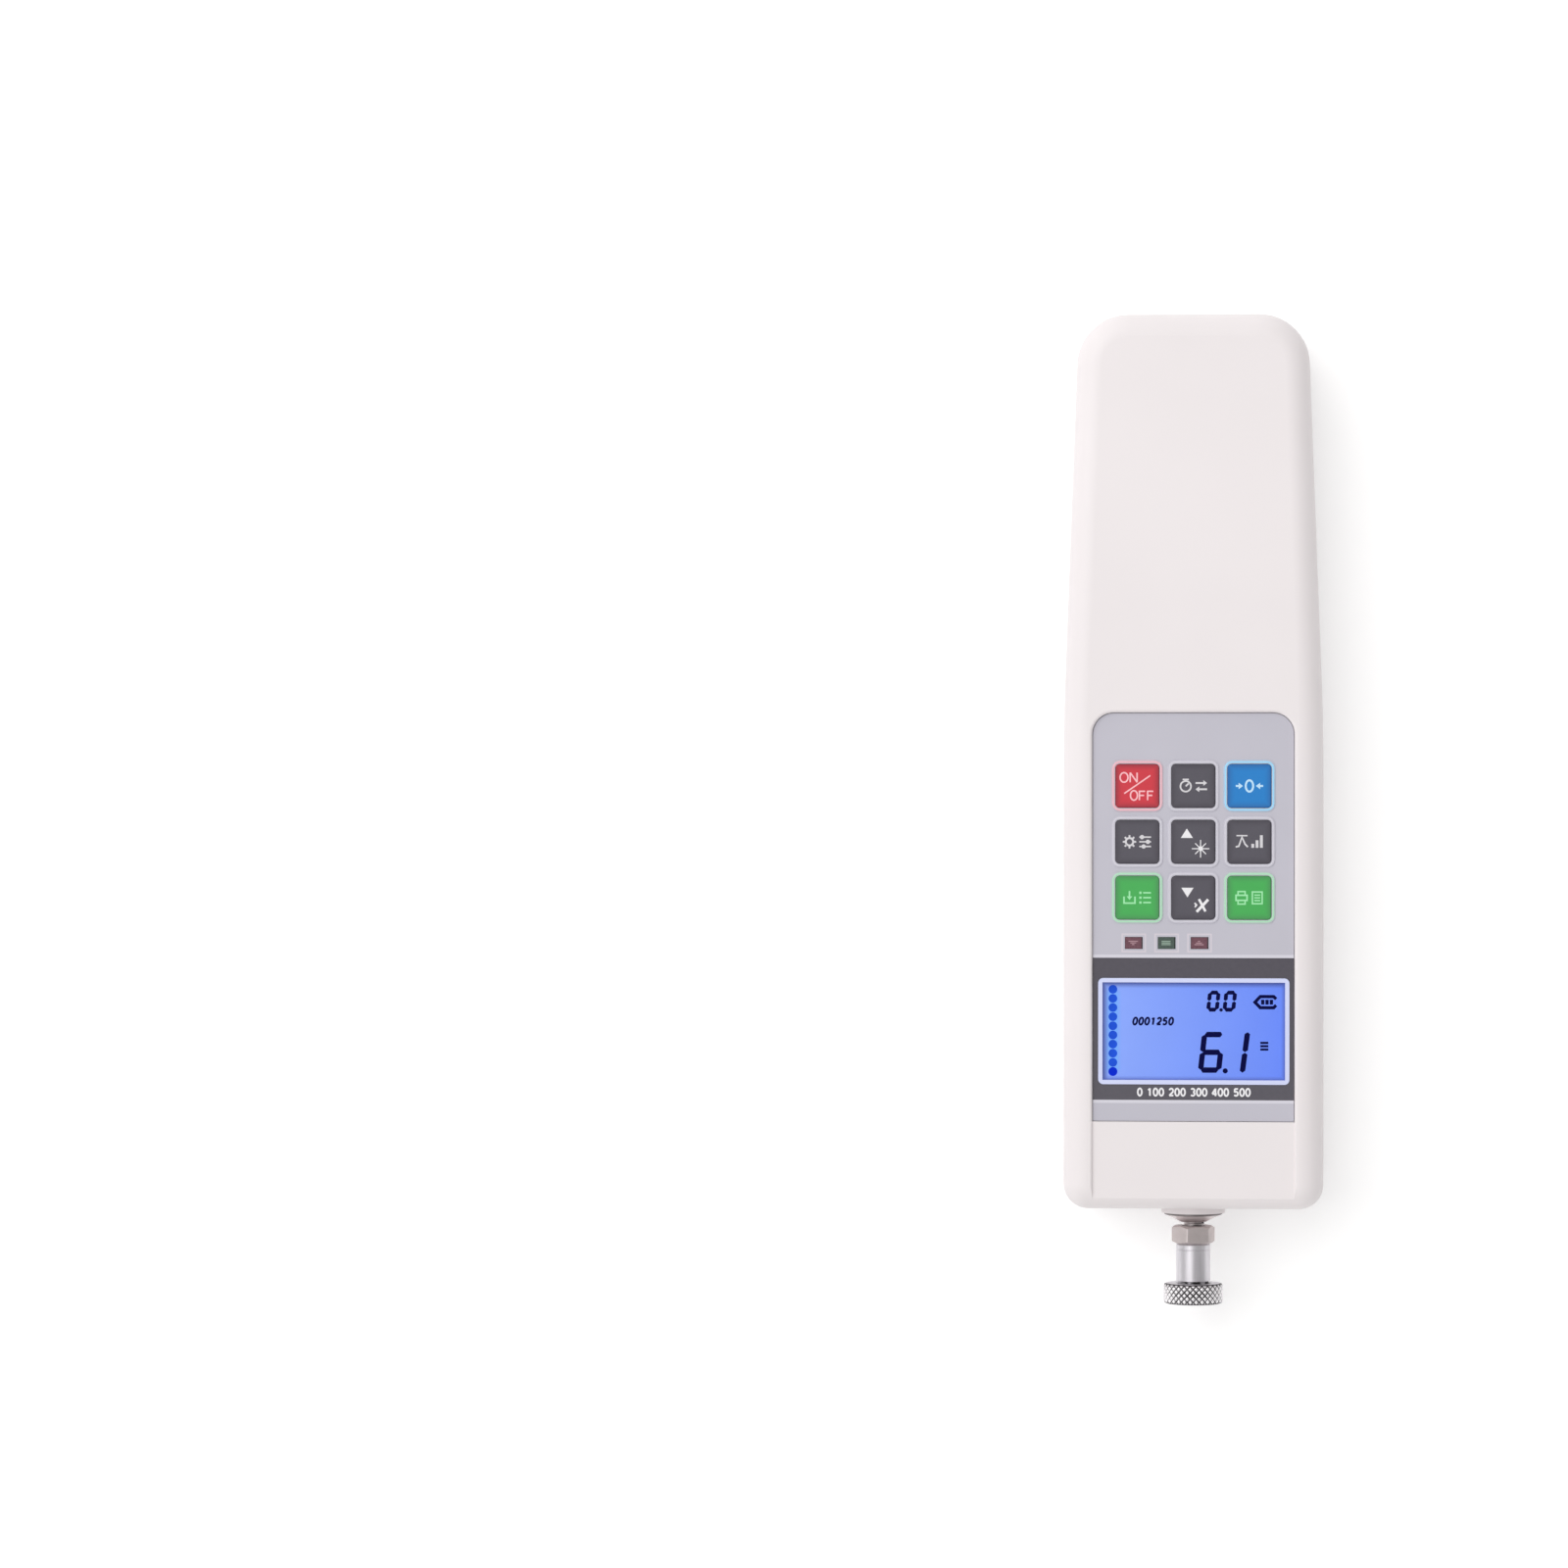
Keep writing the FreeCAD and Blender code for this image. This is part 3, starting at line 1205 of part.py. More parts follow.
def flat_head():
    """Flat measuring head: a threaded shank with a wide round disc."""
    return turned(
        [
            (THREAD_RADIUS, HEAD_TOP),
            (HEAD_SHANK_RADIUS - HEAD_GROOVE / 2, HEAD_TOP),
            (HEAD_SHANK_RADIUS, HEAD_TOP - HEAD_GROOVE / 2),
            (HEAD_SHANK_RADIUS, DISC_TOP + HEAD_GROOVE),
            (HEAD_SHANK_RADIUS - HEAD_GROOVE, DISC_TOP + HEAD_GROOVE),
            (HEAD_SHANK_RADIUS - HEAD_GROOVE, DISC_TOP),
            (HEAD_DISC_RADIUS - HEAD_CHAMFER, DISC_TOP),
            (HEAD_DISC_RADIUS, DISC_TOP - HEAD_CHAMFER),
            (HEAD_DISC_RADIUS, DISC_BOTTOM + HEAD_CHAMFER),
            (HEAD_DISC_RADIUS - HEAD_CHAMFER, DISC_BOTTOM),
            (0, DISC_BOTTOM),
            (0, HEAD_TOP - HEAD_BORE_DEPTH),
            (THREAD_RADIUS, HEAD_TOP - HEAD_BORE_DEPTH),
        ]
    )


# Battery


def battery_xs():
    """X of each battery cell."""
    return [(i - (CELL_COUNT - 1) / 2) * BATTERY_PITCH for i in range(CELL_COUNT)]


def battery_low_y():
    """Y of the battery cells' lower ends."""
    return TRAY_BOTTOM_Y + TRAY_WALL + TAB_THICKNESS + BATTERY_GAP


def battery_cells():
    """Rechargeable cells. Each has a groove round its contact end, and they lie head to tail."""
    low = battery_low_y()
    cells = []
    for i, x in enumerate(battery_xs()):
        can = lengthwise(BATTERY_RADIUS, x, BATTERY_Z, low, low + BATTERY_LENGTH)
        start = low + BATTERY_GROOVE_START
        if i % 2:
            start = low + BATTERY_LENGTH - BATTERY_GROOVE_START - BATTERY_GROOVE_WIDTH
        end = start + BATTERY_GROOVE_WIDTH
        ring = lengthwise(BATTERY_RADIUS + CUT, x, BATTERY_Z, start, end)
        core = lengthwise(BATTERY_RADIUS - BATTERY_GROOVE_DEPTH, x, BATTERY_Z, start, end)
        cells.append(can.cut(ring.cut(core)))
    return Part.makeCompound(cells)


def cell_tabs():
    """Metal strips that join the cells in series."""
    low = battery_low_y()
    xs = battery_xs()
    tabs = []
    for i in range(CELL_COUNT - 1):
        y = low + BATTERY_LENGTH if i % 2 == 0 else low - TAB_THICKNESS
        tabs.append(
            box(
                xs[i] - TAB_OVERHANG,
                xs[i + 1] + TAB_OVERHANG,
                y,
                y + TAB_THICKNESS,
                BATTERY_Z - TAB_WIDTH / 2,
                BATTERY_Z + TAB_WIDTH / 2,
            )
        )
    return Part.makeCompound(tabs)


def battery_tray():
    """Open tray for the cells, with two screw ears on the chassis plate."""
    rim = CHASSIS_FACE + TRAY_HEIGHT
    outside = box(-TRAY_HALF, TRAY_HALF, TRAY_BOTTOM_Y, TRAY_TOP_Y, CHASSIS_FACE, rim)
    inside = box(
        -TRAY_HALF + TRAY_WALL,
        TRAY_HALF - TRAY_WALL,
        TRAY_BOTTOM_Y + TRAY_WALL,
        TRAY_TOP_Y - TRAY_WALL,
        TRAY_FLOOR,
        rim + CUT,
    )
    pieces = [outside.cut(inside)]
    holes = []
    width = 2 * (M3_SCREW[1] + TRAY_EAR_WALL)
    length = TRAY_EAR * 1.5
    for x in (-TRAY_SCREW_X, TRAY_SCREW_X):
        y = TRAY_SCREW_Y + TRAY_EAR / 4
        pieces.append(rounded_plate(x, y, width, length, TRAY_EAR / 3, CHASSIS_FACE, TRAY_FLOOR))
        holes.append(
            upright(M3_SCREW[0] + SCREW_GAP, x, TRAY_SCREW_Y, CHASSIS_FACE - CUT, TRAY_FLOOR + CUT)
        )
    return joined(pieces).cut(holes)


def tray_screws():
    """Two screws that hold the battery tray to the chassis plate."""
    return Part.makeCompound(
        [
            upright_screw(M3_SCREW, x, TRAY_SCREW_Y, TRAY_FLOOR, CHASSIS_BACK)
            for x in (-TRAY_SCREW_X, TRAY_SCREW_X)
        ]
    )


# Sockets


def socket_board():
    """Small circuit board that carries the two sockets."""
    board = box(
        -SOCKET_BOARD_WIDTH / 2,
        SOCKET_BOARD_WIDTH / 2,
        SOCKET_POST_Y - SOCKET_POST_INSET_Y,
        SOCKET_BOARD_TOP_Y,
        SOCKET_BOARD_BACK,
        SOCKET_BOARD_FACE,
    )
    holes = [
        upright(SMALL_SCREW[0] + SCREW_GAP, x, y, SOCKET_BOARD_BACK - CUT, SOCKET_BOARD_FACE + CUT)
        for x, y in SOCKET_POSTS
    ]
    return board.cut(holes)


def socket_screws():
    """Two screws that hold the socket board."""
    return Part.makeCompound(
        [upright_screw(SMALL_SCREW, x, y, SOCKET_BOARD_FACE, WALL + SCREW_GAP) for x, y in SOCKET_POSTS]
    )


def charger_jack():
    """Round charging socket: a block with a barrel that reaches into the case's wall."""
    width, length, height = JACK_BODY
    body = box(
        JACK_X - width / 2,
        JACK_X + width / 2,
        JACK_TOP_Y - length,
        JACK_TOP_Y,
        SOCKET_BOARD_FACE,
        SOCKET_BOARD_FACE + height,
    )
    barrel = lengthwise(JACK_BARREL_RADIUS, JACK_X, JACK_Z, JACK_TOP_Y - CUT, SOCKET_MOUTH)
    floor = SOCKET_MOUTH - JACK_BORE_DEPTH
    bore = lengthwise(JACK_BORE_RADIUS, JACK_X, JACK_Z, floor, SOCKET_MOUTH + CUT)
    seat = lengthwise(JACK_PIN_RADIUS, JACK_X, JACK_Z, floor - JACK_PIN_ROOT, floor + CUT)
    return joined([body, barrel]).cut([bore, seat])


def jack_pin():
    """Centre pin of the charging socket, with its root in the socket's floor."""
    root = SOCKET_MOUTH - JACK_BORE_DEPTH - JACK_PIN_ROOT
    return lengthwise(JACK_PIN_RADIUS, JACK_X, JACK_Z, root, SOCKET_MOUTH - JACK_PIN_SET_BACK)


def port_block(growth, y0, y1):
    """Data port's outline as a block, grown on every side: two lower corners are cut."""
    width, _, height = PORT_SIZE
    half = width / 2 + growth
    low = PORT_Z - height / 2 - growth
    high = PORT_Z + height / 2 + growth
    cut = height / 3
    corners = [
        (-half + cut / 2, low),
        (half - cut / 2, low),
        (half - cut / 2, low + cut),
        (half, low + 1.5 * cut),
        (half, high),
        (-half, high),
        (-half, low + 1.5 * cut),
        (-half + cut / 2, low + cut),
    ]
    points = [V(PORT_X + x, y0, z) for x, z in corners]
    return Part.Face(Part.makePolygon(points + points[:1])).extrude(V(0, y1 - y0, 0))


def data_port():
    """Small data socket: a metal shell with a tongue inside."""
    back = SOCKET_MOUTH - PORT_SIZE[1]
    shell = port_block(0, back, SOCKET_MOUTH)
    inside = port_block(-PORT_SHELL, back + PORT_SHELL, SOCKET_MOUTH + CUT)
    width, height = PORT_TONGUE
    tongue = box(
        PORT_X - width / 2,
        PORT_X + width / 2,
        back + PORT_SHELL / 2,
        SOCKET_MOUTH - PORT_TONGUE_SET_BACK,
        PORT_Z - height / 2,
        PORT_Z + height / 2,
    )
    return joined([shell.cut(inside), tongue])


def case_screws():
    """Six screws, sunk in the back, that hold the two covers together."""
    return Part.makeCompound(
        [upright_screw(M3_SCREW, x, y, CASE_SCREW_RECESS, CASE_SCREW_TIP) for x, y in CASE_POSTS]
    )


def pieces():
    """Every piece of the gauge by name."""
    made = {
        "front_cover": front_cover(),
        "rear_cover": rear_cover(),
        "case_screws": case_screws(),
        "graphic_overlay": graphic_overlay(),
        "keypad_spacer": keypad_spacer(),
        "keypad_circuit": keypad_circuit(),
        "snap_domes": snap_domes(),
        "display_frame": display_frame(),
        "display_window": display_window(),
        "lcd_glass": lcd_glass(),
        "backlight": backlight(),
        "main_board": main_board(),
        "controller_chip": controller_chip(),
        "signal_chips": signal_chips(),
        "buzzer": buzzer(),
        "keypad_connector": keypad_connector(),
        "board_screws": board_screws(),
        "chassis_plate": chassis_plate(),
        "chassis_screws": chassis_screws(),
        "load_cell": load_cell(),
        "strain_gauges": strain_gauges(),
        "sensor_bracket": sensor_bracket(),
        "bracket_screws": bracket_screws(),
        "sensor_bolt": sensor_bolt(),
        "nose_bush": nose_bush(),
        "nose_nut": nose_nut(),
        "measuring_shaft": measuring_shaft(),
        "lock_nut": lock_nut(),
        "flat_head": flat_head(),
        "battery_cells": battery_cells(),
        "cell_tabs": cell_tabs(),
        "battery_tray": battery_tray(),
        "tray_screws": tray_screws(),
        "socket_board": socket_board(),
        "socket_screws": socket_screws(),
        "charger_jack": charger_jack(),
        "jack_pin": jack_pin(),
        "data_port": data_port(),
    }
    for name, x, y in key_places():
        made[name] = key(x, y)
    for name, x, y in light_places():
        made[name] = status_light(x, y)
    return made


def main():
    """Writes each piece to its own file."""
    os.makedirs("parts", exist_ok=True)
    for name, shape in pieces().items():
        shape.exportStep(f"parts/{name}.step")
        print(f"{name}: {len(shape.Solids)} solids, {shape.Volume:.1f} mm3, valid {shape.isValid()}")


main()
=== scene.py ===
"""Looks of a handheld digital force gauge: finishes, print, display, thread, knurl, light and camera.

MM is one millimetre in metres: a length times MM is in metres, and a length in metres over MM is in millimetres.
"""

import math

import bmesh
import bpy
from mathutils import Matrix, Vector

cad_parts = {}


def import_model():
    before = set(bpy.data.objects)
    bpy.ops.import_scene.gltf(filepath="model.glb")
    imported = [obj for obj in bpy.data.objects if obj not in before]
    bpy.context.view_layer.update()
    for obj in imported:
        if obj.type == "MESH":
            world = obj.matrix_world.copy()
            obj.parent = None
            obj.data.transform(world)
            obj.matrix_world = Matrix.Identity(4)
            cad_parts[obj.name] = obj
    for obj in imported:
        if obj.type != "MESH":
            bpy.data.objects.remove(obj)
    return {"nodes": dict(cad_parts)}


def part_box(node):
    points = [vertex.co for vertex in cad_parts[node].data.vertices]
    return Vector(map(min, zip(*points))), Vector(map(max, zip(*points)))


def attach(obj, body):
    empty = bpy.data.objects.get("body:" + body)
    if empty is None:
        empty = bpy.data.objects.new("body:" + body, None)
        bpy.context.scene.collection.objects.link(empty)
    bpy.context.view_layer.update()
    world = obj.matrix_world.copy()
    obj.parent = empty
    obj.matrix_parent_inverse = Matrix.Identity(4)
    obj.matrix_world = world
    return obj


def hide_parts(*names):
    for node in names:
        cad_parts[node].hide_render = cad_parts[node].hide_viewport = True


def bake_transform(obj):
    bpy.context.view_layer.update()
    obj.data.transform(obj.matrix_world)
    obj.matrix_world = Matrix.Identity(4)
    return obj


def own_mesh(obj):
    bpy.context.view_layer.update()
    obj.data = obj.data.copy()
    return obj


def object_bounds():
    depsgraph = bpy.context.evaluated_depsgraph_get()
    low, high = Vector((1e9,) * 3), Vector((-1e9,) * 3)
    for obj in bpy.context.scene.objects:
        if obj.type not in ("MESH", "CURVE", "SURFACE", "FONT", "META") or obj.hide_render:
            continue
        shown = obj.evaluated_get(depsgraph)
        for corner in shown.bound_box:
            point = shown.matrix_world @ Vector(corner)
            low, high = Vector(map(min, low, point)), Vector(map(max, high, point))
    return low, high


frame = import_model()
CAD_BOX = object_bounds()
NODES = frame["nodes"]
MM = 0.001
AXIS_Z = sum(corner.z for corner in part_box("measuring_shaft")) / 2  # measuring axis, in metres


def middle(node):
    """Middle of a node's top face as x, y and z, and half of its width and of its length."""
    low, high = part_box(node)
    x, y = (low.x + high.x) / 2 / MM, (low.y + high.y) / 2 / MM
    return x, y, high.z / MM, (high.x - low.x) / 2 / MM, (high.y - low.y) / 2 / MM


# Colours and materials


def srgb(red, green, blue):
    """Linear colour from the 0 to 255 values of a display."""
    out = []
    for value in (red, green, blue):
        value /= 255
        out.append(value / 12.92 if value <= 0.04045 else ((value + 0.055) / 1.055) ** 2.4)
    return (*out, 1.0)


class Graph:
    """Node tree of a material or world. A value is the output of a node, or a constant."""

    def __init__(self, owner):
        owner.use_nodes = True
        self.tree = owner.node_tree

    def node(self, kind, inputs, **settings):
        """New node with its settings, and with values for inputs by name or number."""
        node = self.tree.nodes.new(kind)
        for name, setting in settings.items():
            setattr(node, name, setting)
        for socket, value in inputs.items():
            self.plug(value, node.inputs[socket])
        return node

    def plug(self, value, socket):
        """Links an output to a socket, or sets the socket to a constant."""
        if isinstance(value, bpy.types.NodeSocket):
            self.tree.links.new(value, socket)
        else:
            socket.default_value = value

    def vector(self, operation, a, b, output="Vector"):
        """Vector maths. A dot product has its output in Value."""
        return self.node("ShaderNodeVectorMath", {0: a, 1: b}, operation=operation).outputs[output]

    def math(self, operation, a, b=0.0):
        return self.node("ShaderNodeMath", {0: a, 1: b}, operation=operation).outputs[0]

    def spread(self, value, low, high, start=0.3, end=0.7):
        """Maps start..end to low..high."""
        inputs = {"Value": value, "From Min": start, "From Max": end, "To Min": low, "To Max": high}
        return self.node("ShaderNodeMapRange", inputs).outputs["Result"]


class Finish(Graph):
    """Material with a principled surface. Its coordinates are the piece's own, in millimetres."""

    def __init__(self, name, color, roughness, metallic=0.0):
        self.material = bpy.data.materials.new(name)
        super().__init__(self.material)
        self.shader = self.tree.nodes["Principled BSDF"]
        self.feed("Base Color", color)
        self.feed("Roughness", roughness)
        self.feed("Metallic", metallic)
        here = self.tree.nodes.new("ShaderNodeTexCoord")
        self.place = self.vector("MULTIPLY", here.outputs["Object"], (1 / MM, 1 / MM, 1 / MM))
        self.split = None

    def feed(self, socket, value):
        """Gives a socket of the surface its value."""
        self.plug(value, self.shader.inputs[socket])

    def axis(self, letter):
        """One coordinate of the place on the piece."""
        if self.split is None:
            self.split = self.node("ShaderNodeSeparateXYZ", {0: self.place})
        return self.split.outputs[letter]

    def joined(self, x, y, z=0.0):
        return self.node("ShaderNodeCombineXYZ", {0: x, 1: y, 2: z}).outputs[0]

    def length(self, a, b):
        """Length of a vector with these two parts."""
        return self.math("SQRT", self.math("ADD", self.math("MULTIPLY", a, a), self.math("MULTIPLY", b, b)))

    def radius(self):
        """Distance from the measuring axis."""
        return self.length(self.axis("X"), self.math("SUBTRACT", self.axis("Z"), AXIS_Z / MM))

    def noise(self, size, detail=2.0, rough=0.5, at=None, stretch=(1, 1, 1)):
        """Noise whose features are about size millimetres."""
        scaled = self.vector("MULTIPLY", at or self.place, tuple(s / size for s in stretch))
        inputs = {"Vector": scaled, "Scale": 1.0, "Detail": detail, "Roughness": rough}
        return self.node("ShaderNodeTexNoise", inputs).outputs["Fac"]

    def mix(self, factor, a, b, blend="MIX"):
        """Mixes two colours. Inputs 6 and 7 and output 2 are the node's colours."""
        inputs = {"Factor": factor, 6: a, 7: b}
        return self.node("ShaderNodeMix", inputs, data_type="RGBA", blend_type=blend).outputs[2]

    def tint(self, color, value, low, high):
        """A colour made darker or lighter by a noise."""
        scale = self.spread(value, low, high)
        return self.mix(1.0, color, self.joined(scale, scale, scale), "MULTIPLY")

    def between(self, value, low, high, soft=0.02):
        """1 inside the range, 0 outside."""
        rise = self.spread(value, 0, 1, low - soft, low + soft)
        fall = self.spread(value, 1, 0, high - soft, high + soft)
        return self.math("MULTIPLY", rise, fall)

    def bump(self, height, depth):
        """Adds relief of the given depth."""
        inputs = {"Height": height, "Distance": depth * MM}
        if self.shader.inputs["Normal"].is_linked:
            inputs["Normal"] = self.shader.inputs["Normal"].links[0].from_socket
        self.feed("Normal", self.node("ShaderNodeBump", inputs).outputs["Normal"])


def plastic(name, color, roughness, grain=0.35, depth=0.012, tone=0.03):
    """Moulded plastic with a fine spark grain and faint uneven tone."""
    f = Finish(name, color, roughness)
    f.feed("Base Color", f.tint(color, f.noise(22, 3), 1 - tone, 1 + tone))
    f.feed("Roughness", f.spread(f.noise(6, 3), roughness - 0.04, roughness + 0.05))
    f.bump(f.noise(grain, 2, 0.6), depth)
    return f


def film(name, color, roughness):
    """Printed polyester film with a very fine matt texture."""
    f = Finish(name, color, roughness)
    f.feed("Base Color", f.tint(color, f.noise(14, 2), 0.985, 1.015))
    f.feed("Roughness", f.spread(f.noise(9, 3), roughness - 0.03, roughness + 0.06))
    f.bump(f.noise(0.16, 2), 0.004)
    return f


def ink_film(name, color):
    """Dark or coloured sign of the display, which reflects next to nothing."""
    f = Finish(name, color, 0.6)
    f.feed("Specular IOR Level", 0.05)
    f.feed("Base Color", f.tint(color, f.noise(3, 2), 0.94, 1.06))
    return f


def shaft_metal():
    """Turned steel with fine tool marks round the measuring axis."""
    color = (0.66, 0.63, 0.63, 1)
    f = Finish("shaft_steel", color, 0.3, 1.0)
    at = f.joined(f.radius(), f.axis("Y"))
    marks = f.noise(0.12, 3, 0.7, at)
    f.feed("Base Color", f.tint(color, f.noise(0.6, 3, 0.6, at), 0.88, 1.12))
    f.feed("Roughness", f.spread(marks, 0.24, 0.4))
    f.bump(marks, 0.006)
    return f


def knurled_metal():
    """Knurled steel, bright on its points, with painted shade that darkens its grooves."""
    f = Finish("head_knurl", (0.74, 0.72, 0.74, 1), 0.26, 1.0)
    # Painted shade: the colour darkens from the knurl's points into its grooves.
    groove_shade = f.spread(f.radius(), 1, 0, GROOVE_FLOOR, GROOVE_MOUTH)
    f.feed("Base Color", f.mix(groove_shade, (0.92, 0.9, 0.92, 1), (0.05, 0.045, 0.05, 1)))
    f.feed("Roughness", f.spread(f.noise(0.3, 2), 0.2, 0.34))
    return f


def nose_metal():
    """Turned cone with a ring of painted shadow where it meets the case."""
    color = (0.8, 0.73, 0.735, 1)
    f = Finish("nose_metal", color, 0.46, 1.0)
    at = f.joined(f.radius(), f.axis("Y"))
    shade = f.tint(color, f.noise(0.5, 3, 0.6, at), 0.92, 1.06)
    # Painted shadow: a dark ring at the gap between the cone and the case.
    gap_shadow = f.between(f.radius(), GAP_SHADOW_INNER, GAP_SHADOW_OUTER, 0.1)
    f.feed("Base Color", f.mix(f.math("MULTIPLY", gap_shadow, 0.8), shade, (0.09, 0.08, 0.08, 1)))
    f.feed("Roughness", f.spread(f.noise(0.2, 3, 0.7, at), 0.4, 0.54))
    f.bump(f.noise(0.12, 3, 0.7, at), 0.004)
    return f


def head_metal():
    """Plated steel of the flat head, drawn lengthwise, with patchy painted shade in the undercut above the disc."""
    color = (0.69, 0.67, 0.705, 1)
    f = Finish("head_steel", color, 0.26, 1.0)
    streaks = f.noise(0.9, 3, 0.6, None, (1, 0.06, 1))
    shade = f.tint(color, streaks, 0.9, 1.05)
    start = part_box("flat_head")[0].y / MM + HEAD_DISC
    # Painted shade: a dark, patchy band in the undercut above the disc.
    under = f.between(f.axis("Y"), start - 0.02, start + 0.6, 0.06)
    under = f.math("MULTIPLY", under, f.spread(f.radius(), 1, 0, SHANK + 0.1, SHANK + 0.5))
    patchy_shade = f.math("MULTIPLY", under, f.spread(f.noise(2.2, 1), 0.35, 1.0, 0.42, 0.55))
    f.feed("Base Color", f.mix(patchy_shade, shade, (0.03, 0.028, 0.03, 1)))
    f.feed("Roughness", f.spread(f.noise(1.2, 3, 0.5, None, (1, 0.08, 1)), 0.38, 0.46))
    f.bump(streaks, 0.002)
    return f


def ground_metal(name, color, roughness, stretch=(1, 14, 1), tone=0.1, size=2.4):
    """Sheet or bar metal with grinding lines one way."""
    f = Finish(name, color, roughness, 1.0)
    lines = f.noise(size, 4, 0.7, None, stretch)
    f.feed("Base Color", f.tint(color, f.noise(7, 3), 1 - tone, 1 + tone))
    f.feed("Roughness", f.spread(lines, roughness - 0.06, roughness + 0.1))
    f.bump(lines, 0.01)
    return f


def case_plastic():
    """Off-white moulded plastic of the two covers."""
    color = srgb(236, 230, 231)
    f = Finish("case_plastic", color, 0.46)
    tone = f.tint(color, f.noise(45, 2), 0.985, 1.012)
    dust = f.spread(f.noise(1.1, 4, 0.7), 0.0, 0.035, 0.62, 0.8)
    f.feed("Base Color", f.mix(dust, tone, srgb(196, 188, 184)))
    f.feed("Roughness", f.spread(f.noise(5, 3), 0.42, 0.52))
    f.bump(f.noise(0.4, 2, 0.6), 0.01)
    return f


def panel_film():
    """Grey panel film with a dark band behind the display and a pale line on both sides of it."""
    grey = srgb(193, 191, 202)
    f = Finish("panel_film", grey, 0.42)
    y = f.axis("Y")
    tone = f.tint(grey, f.noise(16, 2), 0.985, 1.015)
    pale = f.between(y, BAND_BOTTOM - 0.8, BAND_TOP + 0.8)
    band = f.between(y, BAND_BOTTOM, BAND_TOP)
    shade = f.mix(f.spread(y, 0, 1, BAND_BOTTOM, BAND_TOP), srgb(84, 81, 90), srgb(76, 72, 82))
    dark = f.tint(shade, f.noise(1.2, 3), 0.96, 1.05)
    f.feed("Base Color", f.mix(band, f.mix(pale, tone, srgb(214, 212, 222)), dark))
    f.feed("Roughness", f.spread(f.noise(9, 3), 0.4, 0.5))
    f.bump(f.noise(0.16, 2), 0.004)
    return f


def display_glass():
    """Backlit display: blue, paler on the left and behind the level dots, with a painted shadow of the frame along
    its left and top edges, and dark along its right and bottom edges.
    """
    f = Finish("display_blue", srgb(127, 158, 252), 0.35)
    x, y = f.axis("X"), f.axis("Y")
    (left, bottom), (right, top) = DISPLAY_LOW / MM, DISPLAY_HIGH / MM
    color = f.mix(f.spread(x, 0, 1, left, right), srgb(141, 172, 255), srgb(104, 140, 252))
    beside = f.between(x, DOTS_X - 1.5, DOTS_X + 1.5, 0.7)
    color = f.mix(f.math("MULTIPLY", beside, f.between(y, DOTS_LOW, DOTS_HIGH, 0.8)), color, srgb(112, 174, 255))
    # Painted shadow of the frame, along the left and top edges.
    frame_shadow = f.math("MINIMUM", f.math("SUBTRACT", x, left), f.math("SUBTRACT", top, y))
    faint = f.math("MINIMUM", f.math("SUBTRACT", right, x), f.math("SUBTRACT", y, bottom))
    color = f.mix(f.spread(frame_shadow, 0.85, 0.0, 0.15, 1.5), color, srgb(62, 74, 150))
    color = f.mix(f.spread(faint, 0.8, 0.0, 0.0, 1.0), color, srgb(84, 104, 190))
    color = f.tint(color, f.noise(9, 2), 0.985, 1.015)
    f.feed("Base Color", f.mix(1.0, color, (0.36, 0.36, 0.4, 1), "MULTIPLY"))
    f.feed("Emission Color", color)
    f.feed("Emission Strength", 0.62)
    f.bump(f.noise(0.2, 1), 0.001)
    return f


def window():
    """Clear window with a few faint smudges."""
    f = Finish("window_clear", (0.03, 0.04, 0.08, 1.0), 0.08)
    f.feed("Alpha", 0.02)
    f.feed("Specular IOR Level", 0.15)
    f.feed("Roughness", f.spread(f.noise(11, 3), 0.06, 0.16))
    return f


def key_film(node, color, edge_shade_color):
    """Printed film of one key, with painted shade that darkens it towards its embossed edge."""
    f = Finish("film_" + node, color, 0.42)
    x, y, _, half, _ = middle(node)
    dx = f.math("ABSOLUTE", f.math("SUBTRACT", f.axis("X"), x))
    dy = f.math("ABSOLUTE", f.math("SUBTRACT", f.axis("Y"), y))
    # Painted shade: the colour darkens towards the key's edge.
    edge = f.spread(f.math("MAXIMUM", dx, dy), 0, 1, half - 2.2, half - 0.05)
    shade = f.mix(f.math("MULTIPLY", edge, edge), color, edge_shade_color)
    f.feed("Base Color", f.tint(shade, f.noise(5, 2), 0.985, 1.015))
    f.feed("Roughness", f.spread(f.noise(9, 3), 0.39, 0.48))
    f.bump(f.noise(0.16, 2), 0.004)
    return f


def lens(name, color, dark):
    """Diffused lens of a status light, a little mottled."""
    f = Finish(name, color, 0.3)
    f.feed("Base Color", f.mix(f.spread(f.noise(0.9, 2), 0.0, 0.5), color, dark))
    f.feed("Roughness", f.spread(f.noise(0.5, 2), 0.25, 0.4))
    f.bump(f.noise(0.3, 2), 0.01)
    return f


def board_green():
    """Circuit board: green lacquer over faint tracks."""
    f = Finish("board_green", (0.02, 0.16, 0.06, 1), 0.3)
    wave = f.node("ShaderNodeTexWave", {"Vector": f.place, "Scale": 0.7, "Distortion": 6.0})
    tracks = f.spread(wave.outputs["Fac"], 0, 1, 0.55, 0.65)
    f.feed("Base Color", f.mix(tracks, (0.012, 0.11, 0.04, 1), (0.03, 0.22, 0.09, 1)))
    f.feed("Roughness", f.spread(f.noise(3, 2), 0.25, 0.35))
    f.bump(tracks, 0.02)
    return f


